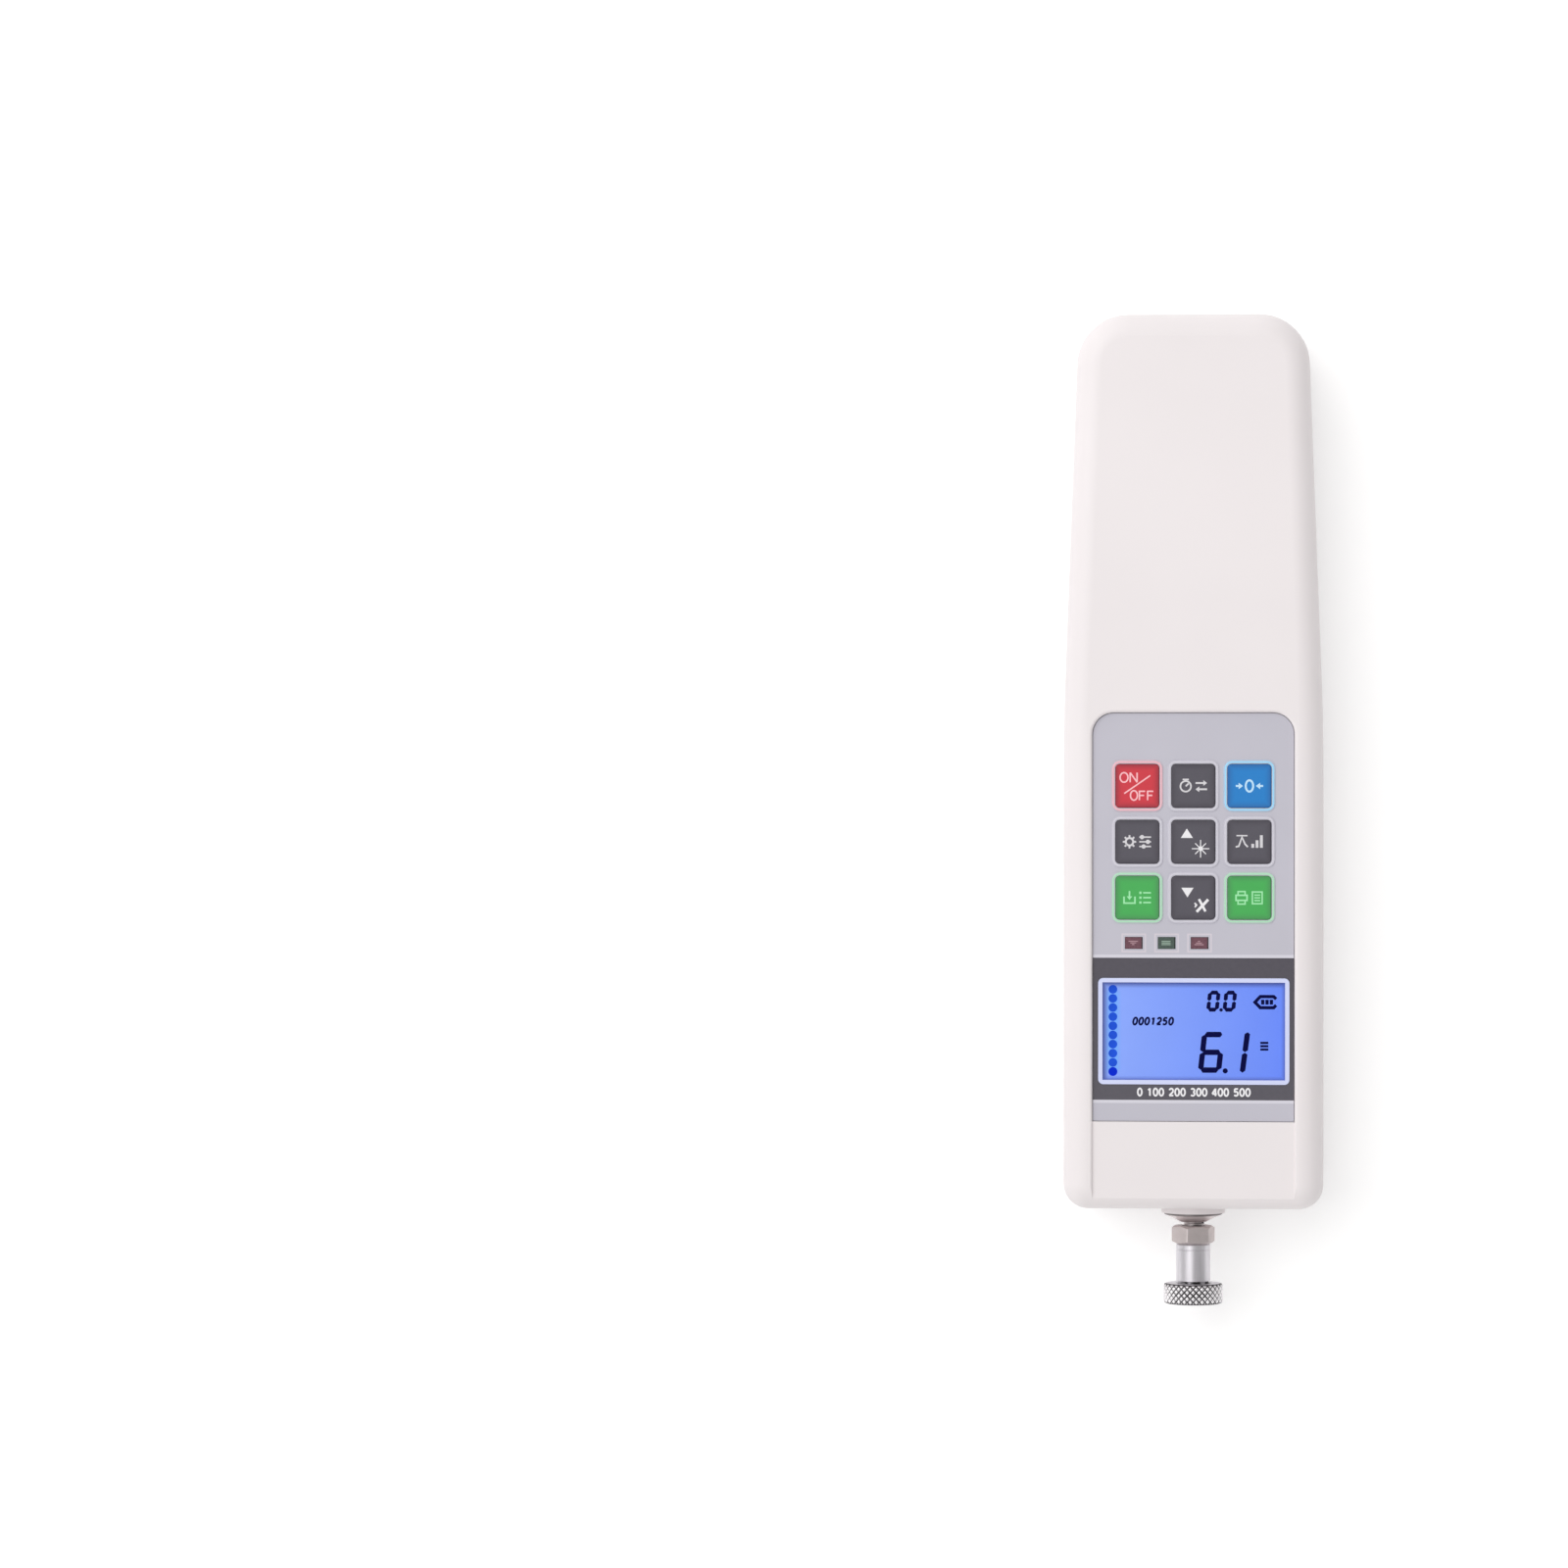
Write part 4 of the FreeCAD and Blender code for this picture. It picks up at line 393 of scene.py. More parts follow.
def chassis_metal():
    """Milled aluminium plate, with the thread of the four stand holes."""
    color = (0.76, 0.76, 0.77, 1)
    f = Finish("chassis_metal", color, 0.38, 1.0)
    lines = f.noise(2.2, 4, 0.7, None, (1, 12, 1))
    f.feed("Base Color", f.tint(color, f.noise(7, 3), 0.9, 1.06))
    f.feed("Roughness", f.spread(lines, 0.32, 0.46))
    dx = f.math("SUBTRACT", f.math("ABSOLUTE", f.axis("X")), STAND_X)
    dy = f.math("SUBTRACT", f.math("ABSOLUTE", f.axis("Y")), STAND_Y)
    inside = f.between(f.length(dx, dy), -1, STAND_RADIUS)
    turn = f.math("DIVIDE", f.math("ARCTAN2", dy, dx), 2 * math.pi)
    thread = f.math("FRACT", f.math("ADD", f.math("DIVIDE", f.axis("Z"), STAND_PITCH), turn))
    ridge = f.math("ABSOLUTE", f.math("SUBTRACT", thread, 0.5))
    f.bump(f.math("MULTIPLY", ridge, inside), 0.5)
    f.bump(lines, 0.01)
    return f


# Places and sizes that finishes and shapes share

# In metres: display frame, the glass inside it, and the face of the panel
OUTER_LOW, OUTER_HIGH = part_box("display_frame")
FRAME_EDGE = Vector((1.1, 1.1)) * MM
DISPLAY_LOW = OUTER_LOW.xy + FRAME_EDGE
DISPLAY_HIGH = OUTER_HIGH.xy - FRAME_EDGE
PANEL_Z = OUTER_HIGH.z - 0.15 * MM
# In millimetres: dark band round the display, level dots, head, painted shadow round the dust cone, M4 stand holes
BAND_BOTTOM, BAND_TOP = OUTER_LOW.y / MM - 4.0, OUTER_HIGH.y / MM + 5.2
DOTS_X, DOTS_HIGH, DOTS_PITCH, DOTS = -20.55, -58.33, 2.343, 10
DOTS_LOW = DOTS_HIGH - DOTS_PITCH * (DOTS - 1)
HEAD_DISC, SHANK = 5.2, 4.4  # height of the knurled disc, radius of the shank
GROOVE_FLOOR, GROOVE_MOUTH = 7.36, 7.64  # radii between which the painted shade in the knurl's grooves fades
GAP_SHADOW_INNER, GAP_SHADOW_OUTER = 7.1, 9.0
STAND_X, STAND_Y, STAND_RADIUS, STAND_PITCH = 20.0, 50.0, 1.9, 0.7

CASE = case_plastic()
FILM = panel_film()
CLEAR_FILM = film("film_clear", srgb(214, 212, 208), 0.3)
# Colour of each kind of key, and the painted shade colour at its edge
KEY_COLORS = {
    "red": (srgb(206, 44, 60), srgb(142, 30, 48)),
    "grey": (srgb(80, 77, 87), srgb(62, 58, 68)),
    "blue": (srgb(0, 124, 201), srgb(16, 94, 162)),
    "green": (srgb(62, 172, 80), srgb(66, 138, 80)),
}
KEY_COLOR = {
    "key_power": "red",
    "key_unit": "grey",
    "key_zero": "blue",
    "key_set": "grey",
    "key_up": "grey",
    "key_peak": "grey",
    "key_memory": "green",
    "key_down": "grey",
    "key_print": "green",
}
HALO_RED = film("halo_red", srgb(240, 182, 192), 0.4)
HALO_GREY = film("halo_grey", srgb(208, 206, 216), 0.4)
HALO_BLUE = film("halo_blue", srgb(154, 216, 250), 0.4)
HALO_GREEN = film("halo_green", srgb(172, 226, 188), 0.4)
PRINT = film("print_white", srgb(214, 212, 216), 0.5)
PRINT_BLUE = film("print_pale_blue", srgb(190, 226, 250), 0.5)
PRINT_GREEN = film("print_pale_green", srgb(158, 232, 172), 0.5)
PRINT_RED = film("print_pale_red", srgb(250, 190, 196), 0.5)
PRINT_BRIGHT = film("print_bright", srgb(238, 237, 240), 0.5)
INK = ink_film("display_ink", srgb(2, 2, 66))
DOT_INK = ink_film("display_dots", srgb(36, 88, 224))
LAST_DOT_INK = ink_film("display_last_dot", srgb(8, 48, 224))
DISPLAY = display_glass()
LILAC = plastic("frame_lilac", srgb(212, 218, 250), 0.3, 0.5, 0.004, 0.015)
WINDOW = window()
LENS_RED = lens("lens_red", srgb(112, 70, 82), srgb(88, 50, 64))
LENS_GREEN = lens("lens_green", srgb(72, 88, 80), srgb(50, 66, 58))
LENS_EDGE = plastic("lens_edge", srgb(38, 18, 28), 0.5)
LENS_EDGE_GREEN = plastic("lens_edge_green", srgb(16, 30, 24), 0.5)
MARK_RED = film("mark_red", srgb(176, 138, 148), 0.4)
MARK_GREEN = film("mark_green", srgb(148, 172, 156), 0.4)
LIGHT_HALO = film("light_halo", srgb(210, 203, 212), 0.4)
WHITE_PLASTIC = plastic("moulded_white", srgb(238, 237, 232), 0.4)
BLACK_PLASTIC = plastic("moulded_black", srgb(38, 38, 40), 0.42, 0.3, 0.02, 0.08)
CHIP = plastic("chip_black", srgb(34, 34, 36), 0.55, 0.2, 0.01, 0.06)
BOARD = board_green()
CHASSIS = chassis_metal()
CELL = ground_metal("cell_steel", (0.62, 0.62, 0.63, 1), 0.34)
FOIL = ground_metal("foil_copper", (0.72, 0.44, 0.26, 1), 0.35, (1, 1, 9))
SCREW = ground_metal("screw_steel", (0.62, 0.62, 0.64, 1), 0.3, (1, 1, 1), 0.1, 0.4)
SPRING = ground_metal("spring_steel", (0.7, 0.7, 0.7, 1), 0.25, (1, 8, 1), 0.08, 1.0)
NOSE = nose_metal()
SHAFT = shaft_metal()
KNURL = knurled_metal()
NUT = ground_metal("nut_nickel", (0.62, 0.56, 0.555, 1), 0.5, (1, 9, 1), 0.1, 1.1)
HEAD = head_metal()
SLEEVE = plastic("battery_sleeve", srgb(44, 120, 78), 0.34, 0.6, 0.01, 0.05)
NICKEL = ground_metal("tab_nickel", (0.74, 0.72, 0.67, 1), 0.3, (1, 10, 1), 0.08, 0.8)
GOLD = ground_metal("contact_gold", (0.86, 0.66, 0.32, 1), 0.25, (1, 10, 1), 0.06, 0.6)

NODE_FINISH = {node: key_film(node, *KEY_COLORS[color]) for node, color in KEY_COLOR.items()} | {
    "front_cover": CASE,
    "rear_cover": CASE,
    "graphic_overlay": FILM,
    "keypad_spacer": CLEAR_FILM,
    "keypad_circuit": CLEAR_FILM,
    "snap_domes": SPRING,
    "display_frame": LILAC,
    "display_window": WINDOW,
    "lcd_glass": DISPLAY,
    "backlight": WHITE_PLASTIC,
    "main_board": BOARD,
    "socket_board": BOARD,
    "controller_chip": CHIP,
    "signal_chips": CHIP,
    "buzzer": CHIP,
    "keypad_connector": WHITE_PLASTIC,
    "light_low": LENS_RED,
    "light_ok": LENS_GREEN,
    "light_high": LENS_RED,
    "chassis_plate": CHASSIS,
    "load_cell": CELL,
    "strain_gauges": FOIL,
    "sensor_bracket": CHASSIS,
    "sensor_bolt": SCREW,
    "nose_bush": NOSE,
    "nose_nut": SCREW,
    "measuring_shaft": SHAFT,
    "lock_nut": NUT,
    "flat_head": HEAD,
    "battery_cells": SLEEVE,
    "cell_tabs": NICKEL,
    "battery_tray": BLACK_PLASTIC,
    "charger_jack": BLACK_PLASTIC,
    "jack_pin": NICKEL,
    "data_port": NICKEL,
}


def dress_nodes():
    """Gives each CAD node its finish. Those that aren't listed are screws."""
    for name, node in NODES.items():
        finish = NODE_FINISH.get(name, SCREW)
        node.data.materials.clear()
        node.data.materials.append(finish.material)


# Meshes


def linked(name, data):
    """Object that holds the data, linked to the scene."""
    obj = bpy.data.objects.new(name, data)
    bpy.context.scene.collection.objects.link(obj)
    return obj


def piece(name, verts, faces, finish, body, slot, smooth=None):
    """Mesh object that rides on a body. Edges under smooth degrees are shaded smooth."""
    mesh = bpy.data.meshes.new(name)
    mesh.from_pydata([Vector(v) * MM for v in verts], [], faces)
    mesh.materials.append(finish.material)
    obj = linked(name, mesh)
    fix = bmesh.new()
    fix.from_mesh(mesh)
    bmesh.ops.remove_doubles(fix, verts=fix.verts, dist=1e-7)
    bmesh.ops.recalc_face_normals(fix, faces=fix.faces)
    fix.to_mesh(mesh)
    fix.free()
    if smooth is not None:
        mesh.shade_smooth()
        mesh.set_sharp_from_angle(angle=math.radians(smooth))
    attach(obj, body)
    return obj


def round_angles(steps):
    """Angles of evenly spaced points round a circle."""
    return [2 * math.pi * i / steps for i in range(steps)]


def circle(x, y, radius, steps):
    """Points round a circle, seen from above."""
    return [(x + radius * math.cos(a), y + radius * math.sin(a)) for a in round_angles(steps)]


def arc(x, y, rx, ry, start, end, steps):
    """Points of an elliptic arc, in degrees."""
    angles = [math.radians(start + (end - start) * i / steps) for i in range(steps + 1)]
    return [(x + rx * math.cos(a), y + ry * math.sin(a)) for a in angles]


def turned(radius, y, angle):
    """Point round the measuring axis."""
    return radius * math.sin(angle), y, AXIS_Z / MM + radius * math.cos(angle)


def wrapped(rows, steps):
    """Faces between rows of vertices, each row a ring of so many steps."""
    faces = []
    for k in range(rows - 1):
        for i in range(steps):
            j = (i + 1) % steps
            faces.append((k * steps + i, k * steps + j, (k + 1) * steps + j, (k + 1) * steps + i))
    return faces


def lathe(profile, steps):
    """Surface turned about the measuring axis, from points of (radius, y). Returns verts and faces."""
    angles = round_angles(steps)
    return [turned(radius, y, angle) for radius, y in profile for angle in angles], wrapped(len(profile), steps)


def added(base, more):
    """One list of verts and faces from two."""
    verts, faces = base
    n = len(verts)
    return verts + more[0], faces + [tuple(i + n for i in face) for face in more[1]]


class Shapes:
    """Flat outlines raised into thin solids, gathered into one mesh."""

    def __init__(self, z0, z1, origin=(0, 0)):
        self.z0, self.z1 = z0, z1
        self.origin = origin
        self.verts, self.faces = [], []
        self.layer = 0

    def heights(self):
        """Bottom and top of the next outline. Crossing outlines never share a height."""
        self.layer = (self.layer + 1) % 6
        return self.z0, self.z1 + 0.0025 * self.layer

    def rings(self, loops):
        """Vertices of each loop, at both heights. Returns where each ring of vertices starts."""
        ox, oy = self.origin
        starts = []
        for z in self.heights():
            for loop in loops:
                starts.append(len(self.verts))
                self.verts += [(ox + x, oy + y, z) for x, y in loop]
        return starts

    def outline(self, points):
        """Closed outline with no crossings."""
        low, high = self.rings([points])
        count = len(points)
        self.faces.append(tuple(high + i for i in range(count)))
        self.faces.append(tuple(low + i for i in reversed(range(count))))
        for i in range(count):
            j = (i + 1) % count
            self.faces.append((low + i, low + j, high + j, high + i))

    def stroke(self, points, width, closed=False):
        """Line of one width with mitred joints."""
        count = len(points)
        left, right = [], []
        for i, (x, y) in enumerate(points):
            before = points[i - 1] if i or closed else None
            after = points[(i + 1) % count] if i < count - 1 or closed else None
            turns = []
            if before:
                turns.append(math.atan2(y - before[1], x - before[0]))
            if after:
                turns.append(math.atan2(after[1] - y, after[0] - x))
            nx = sum(-math.sin(t) for t in turns)
            ny = sum(math.cos(t) for t in turns)
            size = math.hypot(nx, ny) or 1
            nx, ny = nx / size, ny / size
            reach = width / 2 / max(0.45, -math.sin(turns[0]) * nx + math.cos(turns[0]) * ny)
            left.append((x + nx * reach, y + ny * reach))
            right.append((x - nx * reach, y - ny * reach))
        low_left, low_right, high_left, high_right = self.rings([left, right])
        for i in range(count if closed else count - 1):
            j = (i + 1) % count
            self.faces += [
                (high_left + i, high_right + i, high_right + j, high_left + j),
                (low_left + i, low_left + j, low_right + j, low_right + i),
                (low_left + i, high_left + i, high_left + j, low_left + j),
                (low_right + i, low_right + j, high_right + j, high_right + i),
            ]
        if not closed:
            for i in (0, count - 1):
                self.faces.append((low_left + i, low_right + i, high_right + i, high_left + i))

    def loop(self, points, width):
        """Closed line whose last point repeats the first."""
        self.stroke(points[:-1], width, True)

    def disc(self, x, y, radius, steps=20):
        self.outline(circle(x, y, radius, steps))

    def made(self, name, finish, body, slot):
        return piece(name, self.verts, self.faces, finish, body, slot)


def glyph(letter):
    """Strokes of a letter or numeral in a box one unit wide and high. A loop ends where it starts."""
    strokes = {
        "O": [arc(0.5, 0.5, 0.48, 0.5, 0, 360, 20)],
        "N": [[(0.08, 0), (0.08, 1)], [(0.08, 1), (0.92, 0)], [(0.92, 0), (0.92, 1)]],
        "F": [[(0.12, 0), (0.12, 1)], [(0.12, 0.93), (0.9, 0.93)], [(0.12, 0.5), (0.76, 0.5)]],
        "0": [arc(0.5, 0.5, 0.4, 0.48, 0, 360, 20)],
        "1": [[(0.22, 0.74), (0.55, 0.96)], [(0.55, 0), (0.55, 1)]],
        "2": [arc(0.5, 0.68, 0.36, 0.29, 165, -35, 10) + [(0.12, 0.06)], [(0.1, 0.06), (0.92, 0.06)]],
        "3": [arc(0.46, 0.73, 0.34, 0.24, 150, -75, 9), arc(0.46, 0.27, 0.38, 0.24, 75, -150, 9)],
        "4": [[(0.7, 0), (0.7, 1)], [(0.68, 0.97), (0.06, 0.3)], [(0.06, 0.28), (0.95, 0.28)]],
        "5": [[(0.86, 0.95), (0.2, 0.95)], [(0.22, 0.95), (0.18, 0.5)], arc(0.46, 0.32, 0.38, 0.28, 140, -150, 10)],
    }
    return strokes[letter]


def write(shapes, text, x, y, height, pitch, width, wide, lean=0.0):
    """Row of stroked characters from its lower left corner. Each is wide times as wide as high."""
    for i, letter in enumerate(text):
        for line in glyph(letter):
            points = [(x + i * pitch + px * height * wide + py * height * lean, y + py * height) for px, py in line]
            if letter in "O0":
                shapes.loop(points, width)
            else:
                shapes.stroke(points, width)


def segment_digit(shapes, digit, x, y, width, height, thick, lean):
    """Seven-segment numeral with its lower left corner at (x, y) before it leans."""
    lit = {"0": "abcdef", "1": "bc", "6": "acdefg"}[digit]
    half, gap = thick / 2, thick * 0.04
    left, right, low, high, mid = half, width - half, half, height - half, height / 2
    places = {
        "a": (left, high, right, high),
        "b": (right, mid, right, high),
        "c": (right, low, right, mid),
        "d": (left, low, right, low),
        "e": (left, low, left, mid),
        "f": (left, mid, left, high),
        "g": (left, mid, right, mid),
    }
    if digit == "1":
        places["b"], places["c"] = (right, mid, right, height), (right, 0, right, mid)
    for name in lit:
        ax, ay, bx, by = places[name]
        length = math.hypot(bx - ax, by - ay)
        ux, uy = (bx - ax) / length, (by - ay) / length
        points = []
        for along, aside in (
            (gap, 0), (gap + half * 0.7, -half), (length - gap - half * 0.7, -half),
            (length - gap, 0), (length - gap - half * 0.7, half), (gap + half * 0.7, half),
        ):
            px = ax + along * ux - aside * uy
            py = ay + along * uy + aside * ux
            points.append((x + px + py * lean, y + py))
        shapes.outline(points)


# Panel: rims round the keys, legends, display, lights


def rounded_square(half, radius):
    """Outline of a square round the origin, with round corners."""
    inner, points = half - radius, []
    for cx, cy, start in ((1, 1, 0), (-1, 1, 90), (-1, -1, 180), (1, -1, 270)):
        points += arc(cx * inner, cy * inner, radius, radius, start, start + 90, 5)
    return points


def key_rim(name, finish):
    """Raised rim that is embossed in the film round a key: steep inside, and falling off outwards."""
    x, y, _, half, _ = middle(name)
    face = PANEL_Z / MM
    gap, corner, width, height = 0.06, 1.1, 0.9, 0.28
    rings = [(0, face - 0.1)]
    for t in (0, 0.12, 0.3, 0.5, 0.7, 0.88):
        rise = math.sin(math.pi * (0.06 + 0.94 * t)) if t > 0 else 0.62
        rings.append((width * t, face + height * min(1.0, rise * 1.25)))
    rings.append((width, face - 0.01))
    verts = []
    for reach, z in rings:
        ring = rounded_square(half + gap + reach, corner + gap + reach)
        verts += [(x + px, y + py, z) for px, py in ring]
    faces = wrapped(len(rings), len(verts) // len(rings))
    piece("rim_" + name, verts, faces, finish, "housing", "panel_grey", 50)


def arrow(shapes, x0, y0, x1, y1, width, head):
    """Arrow with a filled tip at (x1, y1)."""
    turn = math.atan2(y1 - y0, x1 - x0)
    c, d = math.cos(turn), math.sin(turn)
    shapes.stroke([(x0, y0), (x1 - head * 0.7 * c, y1 - head * 0.7 * d)], width)
    base_x, base_y, wing = x1 - head * c, y1 - head * d, 0.75 * head
    shapes.outline([(x1, y1), (base_x - wing * d, base_y + wing * c), (base_x + wing * d, base_y - wing * c)])


def frame_of(shapes, x0, y0, x1, y1, width):
    """Rectangle drawn as a line."""
    shapes.stroke([(x0, y0), (x1, y0), (x1, y1), (x0, y1)], width, True)


# Legends, in millimetres from the middle of the key


def draw_power(s):
    write(s, "ON", -4.45, 0.95, 2.45, 2.45, 0.38, 0.86)
    s.stroke([(-3.35, -1.95), (3.3, 2.66)], 0.36)
    write(s, "OFF", -1.8, -3.65, 2.45, 2.1, 0.38, 0.76)


def draw_unit(s):
    s.loop(arc(-1.95, -0.1, 1.35, 1.35, 0, 360, 24), 0.42)
    s.stroke([(-1.95, -0.1), (-1.2, 0.65)], 0.42)
    s.stroke([(-2.75, 1.65), (-1.15, 1.65)], 0.4)
    arrow(s, 0.55, 0.75, 3.5, 0.75, 0.45, 0.95)
    arrow(s, 3.5, -0.85, 0.55, -0.85, 0.45, 0.95)


def draw_zero(s):
    s.loop(arc(0, 0, 0.95, 1.45, 0, 360, 24), 0.52)
    arrow(s, -3.5, 0, -1.65, 0, 0.5, 1.1)
    arrow(s, 3.5, 0, 1.65, 0, 0.5, 1.1)


def draw_set(s):
    s.loop(arc(-2.0, 0, 0.95, 0.95, 0, 360, 24), 0.5)
    for i in range(8):
        c, d = math.cos(math.pi / 4 * i), math.sin(math.pi / 4 * i)
        s.stroke([(-2.0 + 1.1 * c, 1.1 * d), (-2.0 + 1.7 * c, 1.7 * d)], 0.46)
    for y, knob in ((1.2, 1.2), (0.0, 2.7), (-1.2, 1.6)):
        s.stroke([(0.5, y), (3.5, y)], 0.36)
        s.disc(knob, y, 0.55)


def draw_peak(s):
    s.stroke([(-3.5, -1.3), (-2.7, -1.1), (-1.9, 1.2), (-1.1, -0.6), (-0.4, -1.3)], 0.42)
    s.stroke([(-3.3, 1.6), (-0.5, 1.6)], 0.34)
    for i, top in enumerate((-0.5, 0.4, 1.7)):
        x = 0.85 + 1.1 * i
        s.outline([(x - 0.36, -1.5), (x + 0.36, -1.5), (x + 0.36, top), (x - 0.36, top)])


def draw_memory(s):
    s.stroke([(-3.4, 0.3), (-3.4, -1.4), (-0.6, -1.4), (-0.6, 0.3)], 0.42)
    arrow(s, -2.0, 1.7, -2.0, -0.6, 0.42, 0.95)
    for y in (1.25, 0.0, -1.25):
        s.outline([(0.5, y - 0.3), (1.1, y - 0.3), (1.1, y + 0.3), (0.5, y + 0.3)])
        s.stroke([(1.5, y), (3.5, y)], 0.4)


def draw_print(s):
    frame_of(s, -3.4, -0.65, -0.6, 0.65, 0.42)
    s.stroke([(-2.9, 0.85), (-2.9, 1.6), (-1.1, 1.6), (-1.1, 0.85)], 0.38)
    s.stroke([(-2.9, -0.85), (-2.9, -1.6), (-1.1, -1.6), (-1.1, -0.85)], 0.38)
    frame_of(s, 0.75, -1.5, 3.25, 1.5, 0.38)
    for y in (0.7, 0.0, -0.7):
        s.stroke([(1.25, y), (2.75, y)], 0.34)


def draw_up(s):
    s.outline([(-3.2, 1.0), (-0.1, 1.0), (-1.65, 3.4)])
    s.disc(1.85, -1.75, 0.62)
    for i in range(8):
        c, d = math.cos(math.pi / 4 * i), math.sin(math.pi / 4 * i)
        reach = 2.25 if i % 2 == 0 else 1.95
        s.stroke([(1.85 + 0.5 * c, -1.75 + 0.5 * d), (1.85 + reach * c, -1.75 + reach * d)], 0.24)


def draw_down(s):
    s.outline([(-1.5, 0.1), (0.05, 2.55), (-3.05, 2.55)])
    s.stroke([(0.85, -3.6), (3.8, -0.45)], 0.7)
    s.stroke([(1.45, -0.35), (3.1, -3.5)], 0.62)
    s.stroke([(0.35, -1.35), (0.8, -1.85), (0.4, -2.4)], 0.4)


KEYS = {
    "key_power": (draw_power, PRINT_RED, HALO_RED),
    "key_unit": (draw_unit, PRINT, HALO_GREY),
    "key_zero": (draw_zero, PRINT_BLUE, HALO_BLUE),
    "key_set": (draw_set, PRINT, HALO_GREY),
    "key_up": (draw_up, PRINT_BRIGHT, HALO_GREY),
    "key_peak": (draw_peak, PRINT, HALO_GREY),
    "key_memory": (draw_memory, PRINT_GREEN, HALO_GREEN),
    "key_down": (draw_down, PRINT_BRIGHT, HALO_GREY),
    "key_print": (draw_print, PRINT_GREEN, HALO_GREEN),
}


def keys():
    """Rim and legend of each key. The legend moves with its key."""
    for name, (draw, ink, halo) in KEYS.items():
        x, y, top, _, _ = middle(name)
        key_rim(name, halo)
        shapes = Shapes(top - 0.01, top + 0.015, (x, y))
        draw(shapes)
        shapes.made("legend_" + name, ink, name + "_pad", "moulded_white")


def display():
    """Numerals, battery sign and level dots on the display, and the numbers below it."""
    top = middle("lcd_glass")[2]
    ink = Shapes(top + 0.005, top + 0.02)
    segment_digit(ink, "0", 3.24, -64.0, 3.2, 5.4, 1.02, 0.11)
    segment_digit(ink, "0", 7.4, -64.0, 3.25, 5.4, 1.02, 0.11)
    ink.disc(7.1, -63.55, 0.45)
    segment_digit(ink, "6", 1.1, -79.66, 6.0, 10.5, 1.4, 0.11)
    segment_digit(ink, "1", 7.2, -79.66, 6.0, 10.5, 1.4, 0.13)
    ink.disc(8.15, -79.15, 0.66)
    ink.stroke([(21.15, -60.75), (20.5, -60.1), (17.1, -60.1), (15.75, -61.55), (17.1, -62.95), (20.5, -62.95),
                (21.15, -62.3)], 0.84)
    for x in (17.3, 18.4, 19.5):
        ink.outline([(x, -62.15), (x + 0.86, -62.15), (x + 0.86, -60.9), (x, -60.9)])
    for y in (-71.95, -72.8, -73.65):
        ink.stroke([(17.1, y), (19.15, y)], 0.56)
    write(ink, "0001250", -15.6, -67.4, 1.85, 1.53, 0.5, 0.66, 0.16)
    ink.made("display_signs", INK, "housing", "lcd_blue")
    dots = Shapes(top + 0.005, top + 0.018)
    for i in range(DOTS - 1):
        dots.disc(DOTS_X, DOTS_HIGH - DOTS_PITCH * i, 1.12, 24)
    dots.made("display_level", DOT_INK, "housing", "lcd_blue")
    last = Shapes(top + 0.005, top + 0.018)
    last.disc(DOTS_X, DOTS_LOW, 1.16, 24)
    last.made("display_level_end", LAST_DOT_INK, "housing", "lcd_blue")
    numbers = Shapes(PANEL_Z / MM - 0.01, PANEL_Z / MM + 0.015)
    x, row, pitch, space = -14.3, OUTER_LOW.y / MM - 2.95, 1.5, 1.02
    for text in ("0", "100", "200", "300", "400", "500"):
        write(numbers, text, x, row, 1.95, pitch, 0.44, 0.66)
        x += pitch * len(text) + space
    numbers.made("band_numbers", PRINT_BRIGHT, "housing", "moulded_white")


def lights():
    """Pale border, dark edge and small sign of each status light."""
    lip, thin, left, right = 0.02, 0.42, 0.4, 0.72
    for name, edge, mark, spans in (
        ("light_low", LENS_EDGE, MARK_RED, (1.2, 0.75, 0.3)),
        ("light_ok", LENS_EDGE_GREEN, MARK_GREEN, (1.15, 1.15, 1.15)),
        ("light_high", LENS_EDGE, MARK_RED, (0.3, 0.75, 1.2)),
    ):
        x, y, top, half_x, half_y = middle(name)
        half_x, half_y = half_x - lip, half_y - lip
        border = Shapes(top - 0.01, top + 0.02, (x, y))
        for x0, x1, y0, y1 in (
            (-half_x, half_x, half_y - thin, half_y), (-half_x, half_x, -half_y, -half_y + thin),
            (-half_x, -half_x + left, -half_y, half_y), (half_x - right, half_x, -half_y, half_y),
        ):
            border.outline([(x0, y0), (x1, y0), (x1, y1), (x0, y1)])
        border.made(name + "_edge", edge, "housing", "chip_black")
        sign = Shapes(top - 0.01, top + 0.02, (x - 0.15, y))
        for row, span in zip((0.42, 0.0, -0.42), spans):
            sign.stroke([(-span, row), (span, row)], 0.24)
        sign.made(name + "_sign", mark, "housing", "moulded_white")
        halo = Shapes(PANEL_Z / MM - 0.01, PANEL_Z / MM + 0.004, (x, y))
        wide, tall = half_x + 0.3, half_y + 0.3
        frame_of(halo, -wide, -tall, wide, tall, 0.4)
        halo.made(name + "_halo", LIGHT_HALO, "housing", "panel_grey")


# Measuring head, shaft and screws


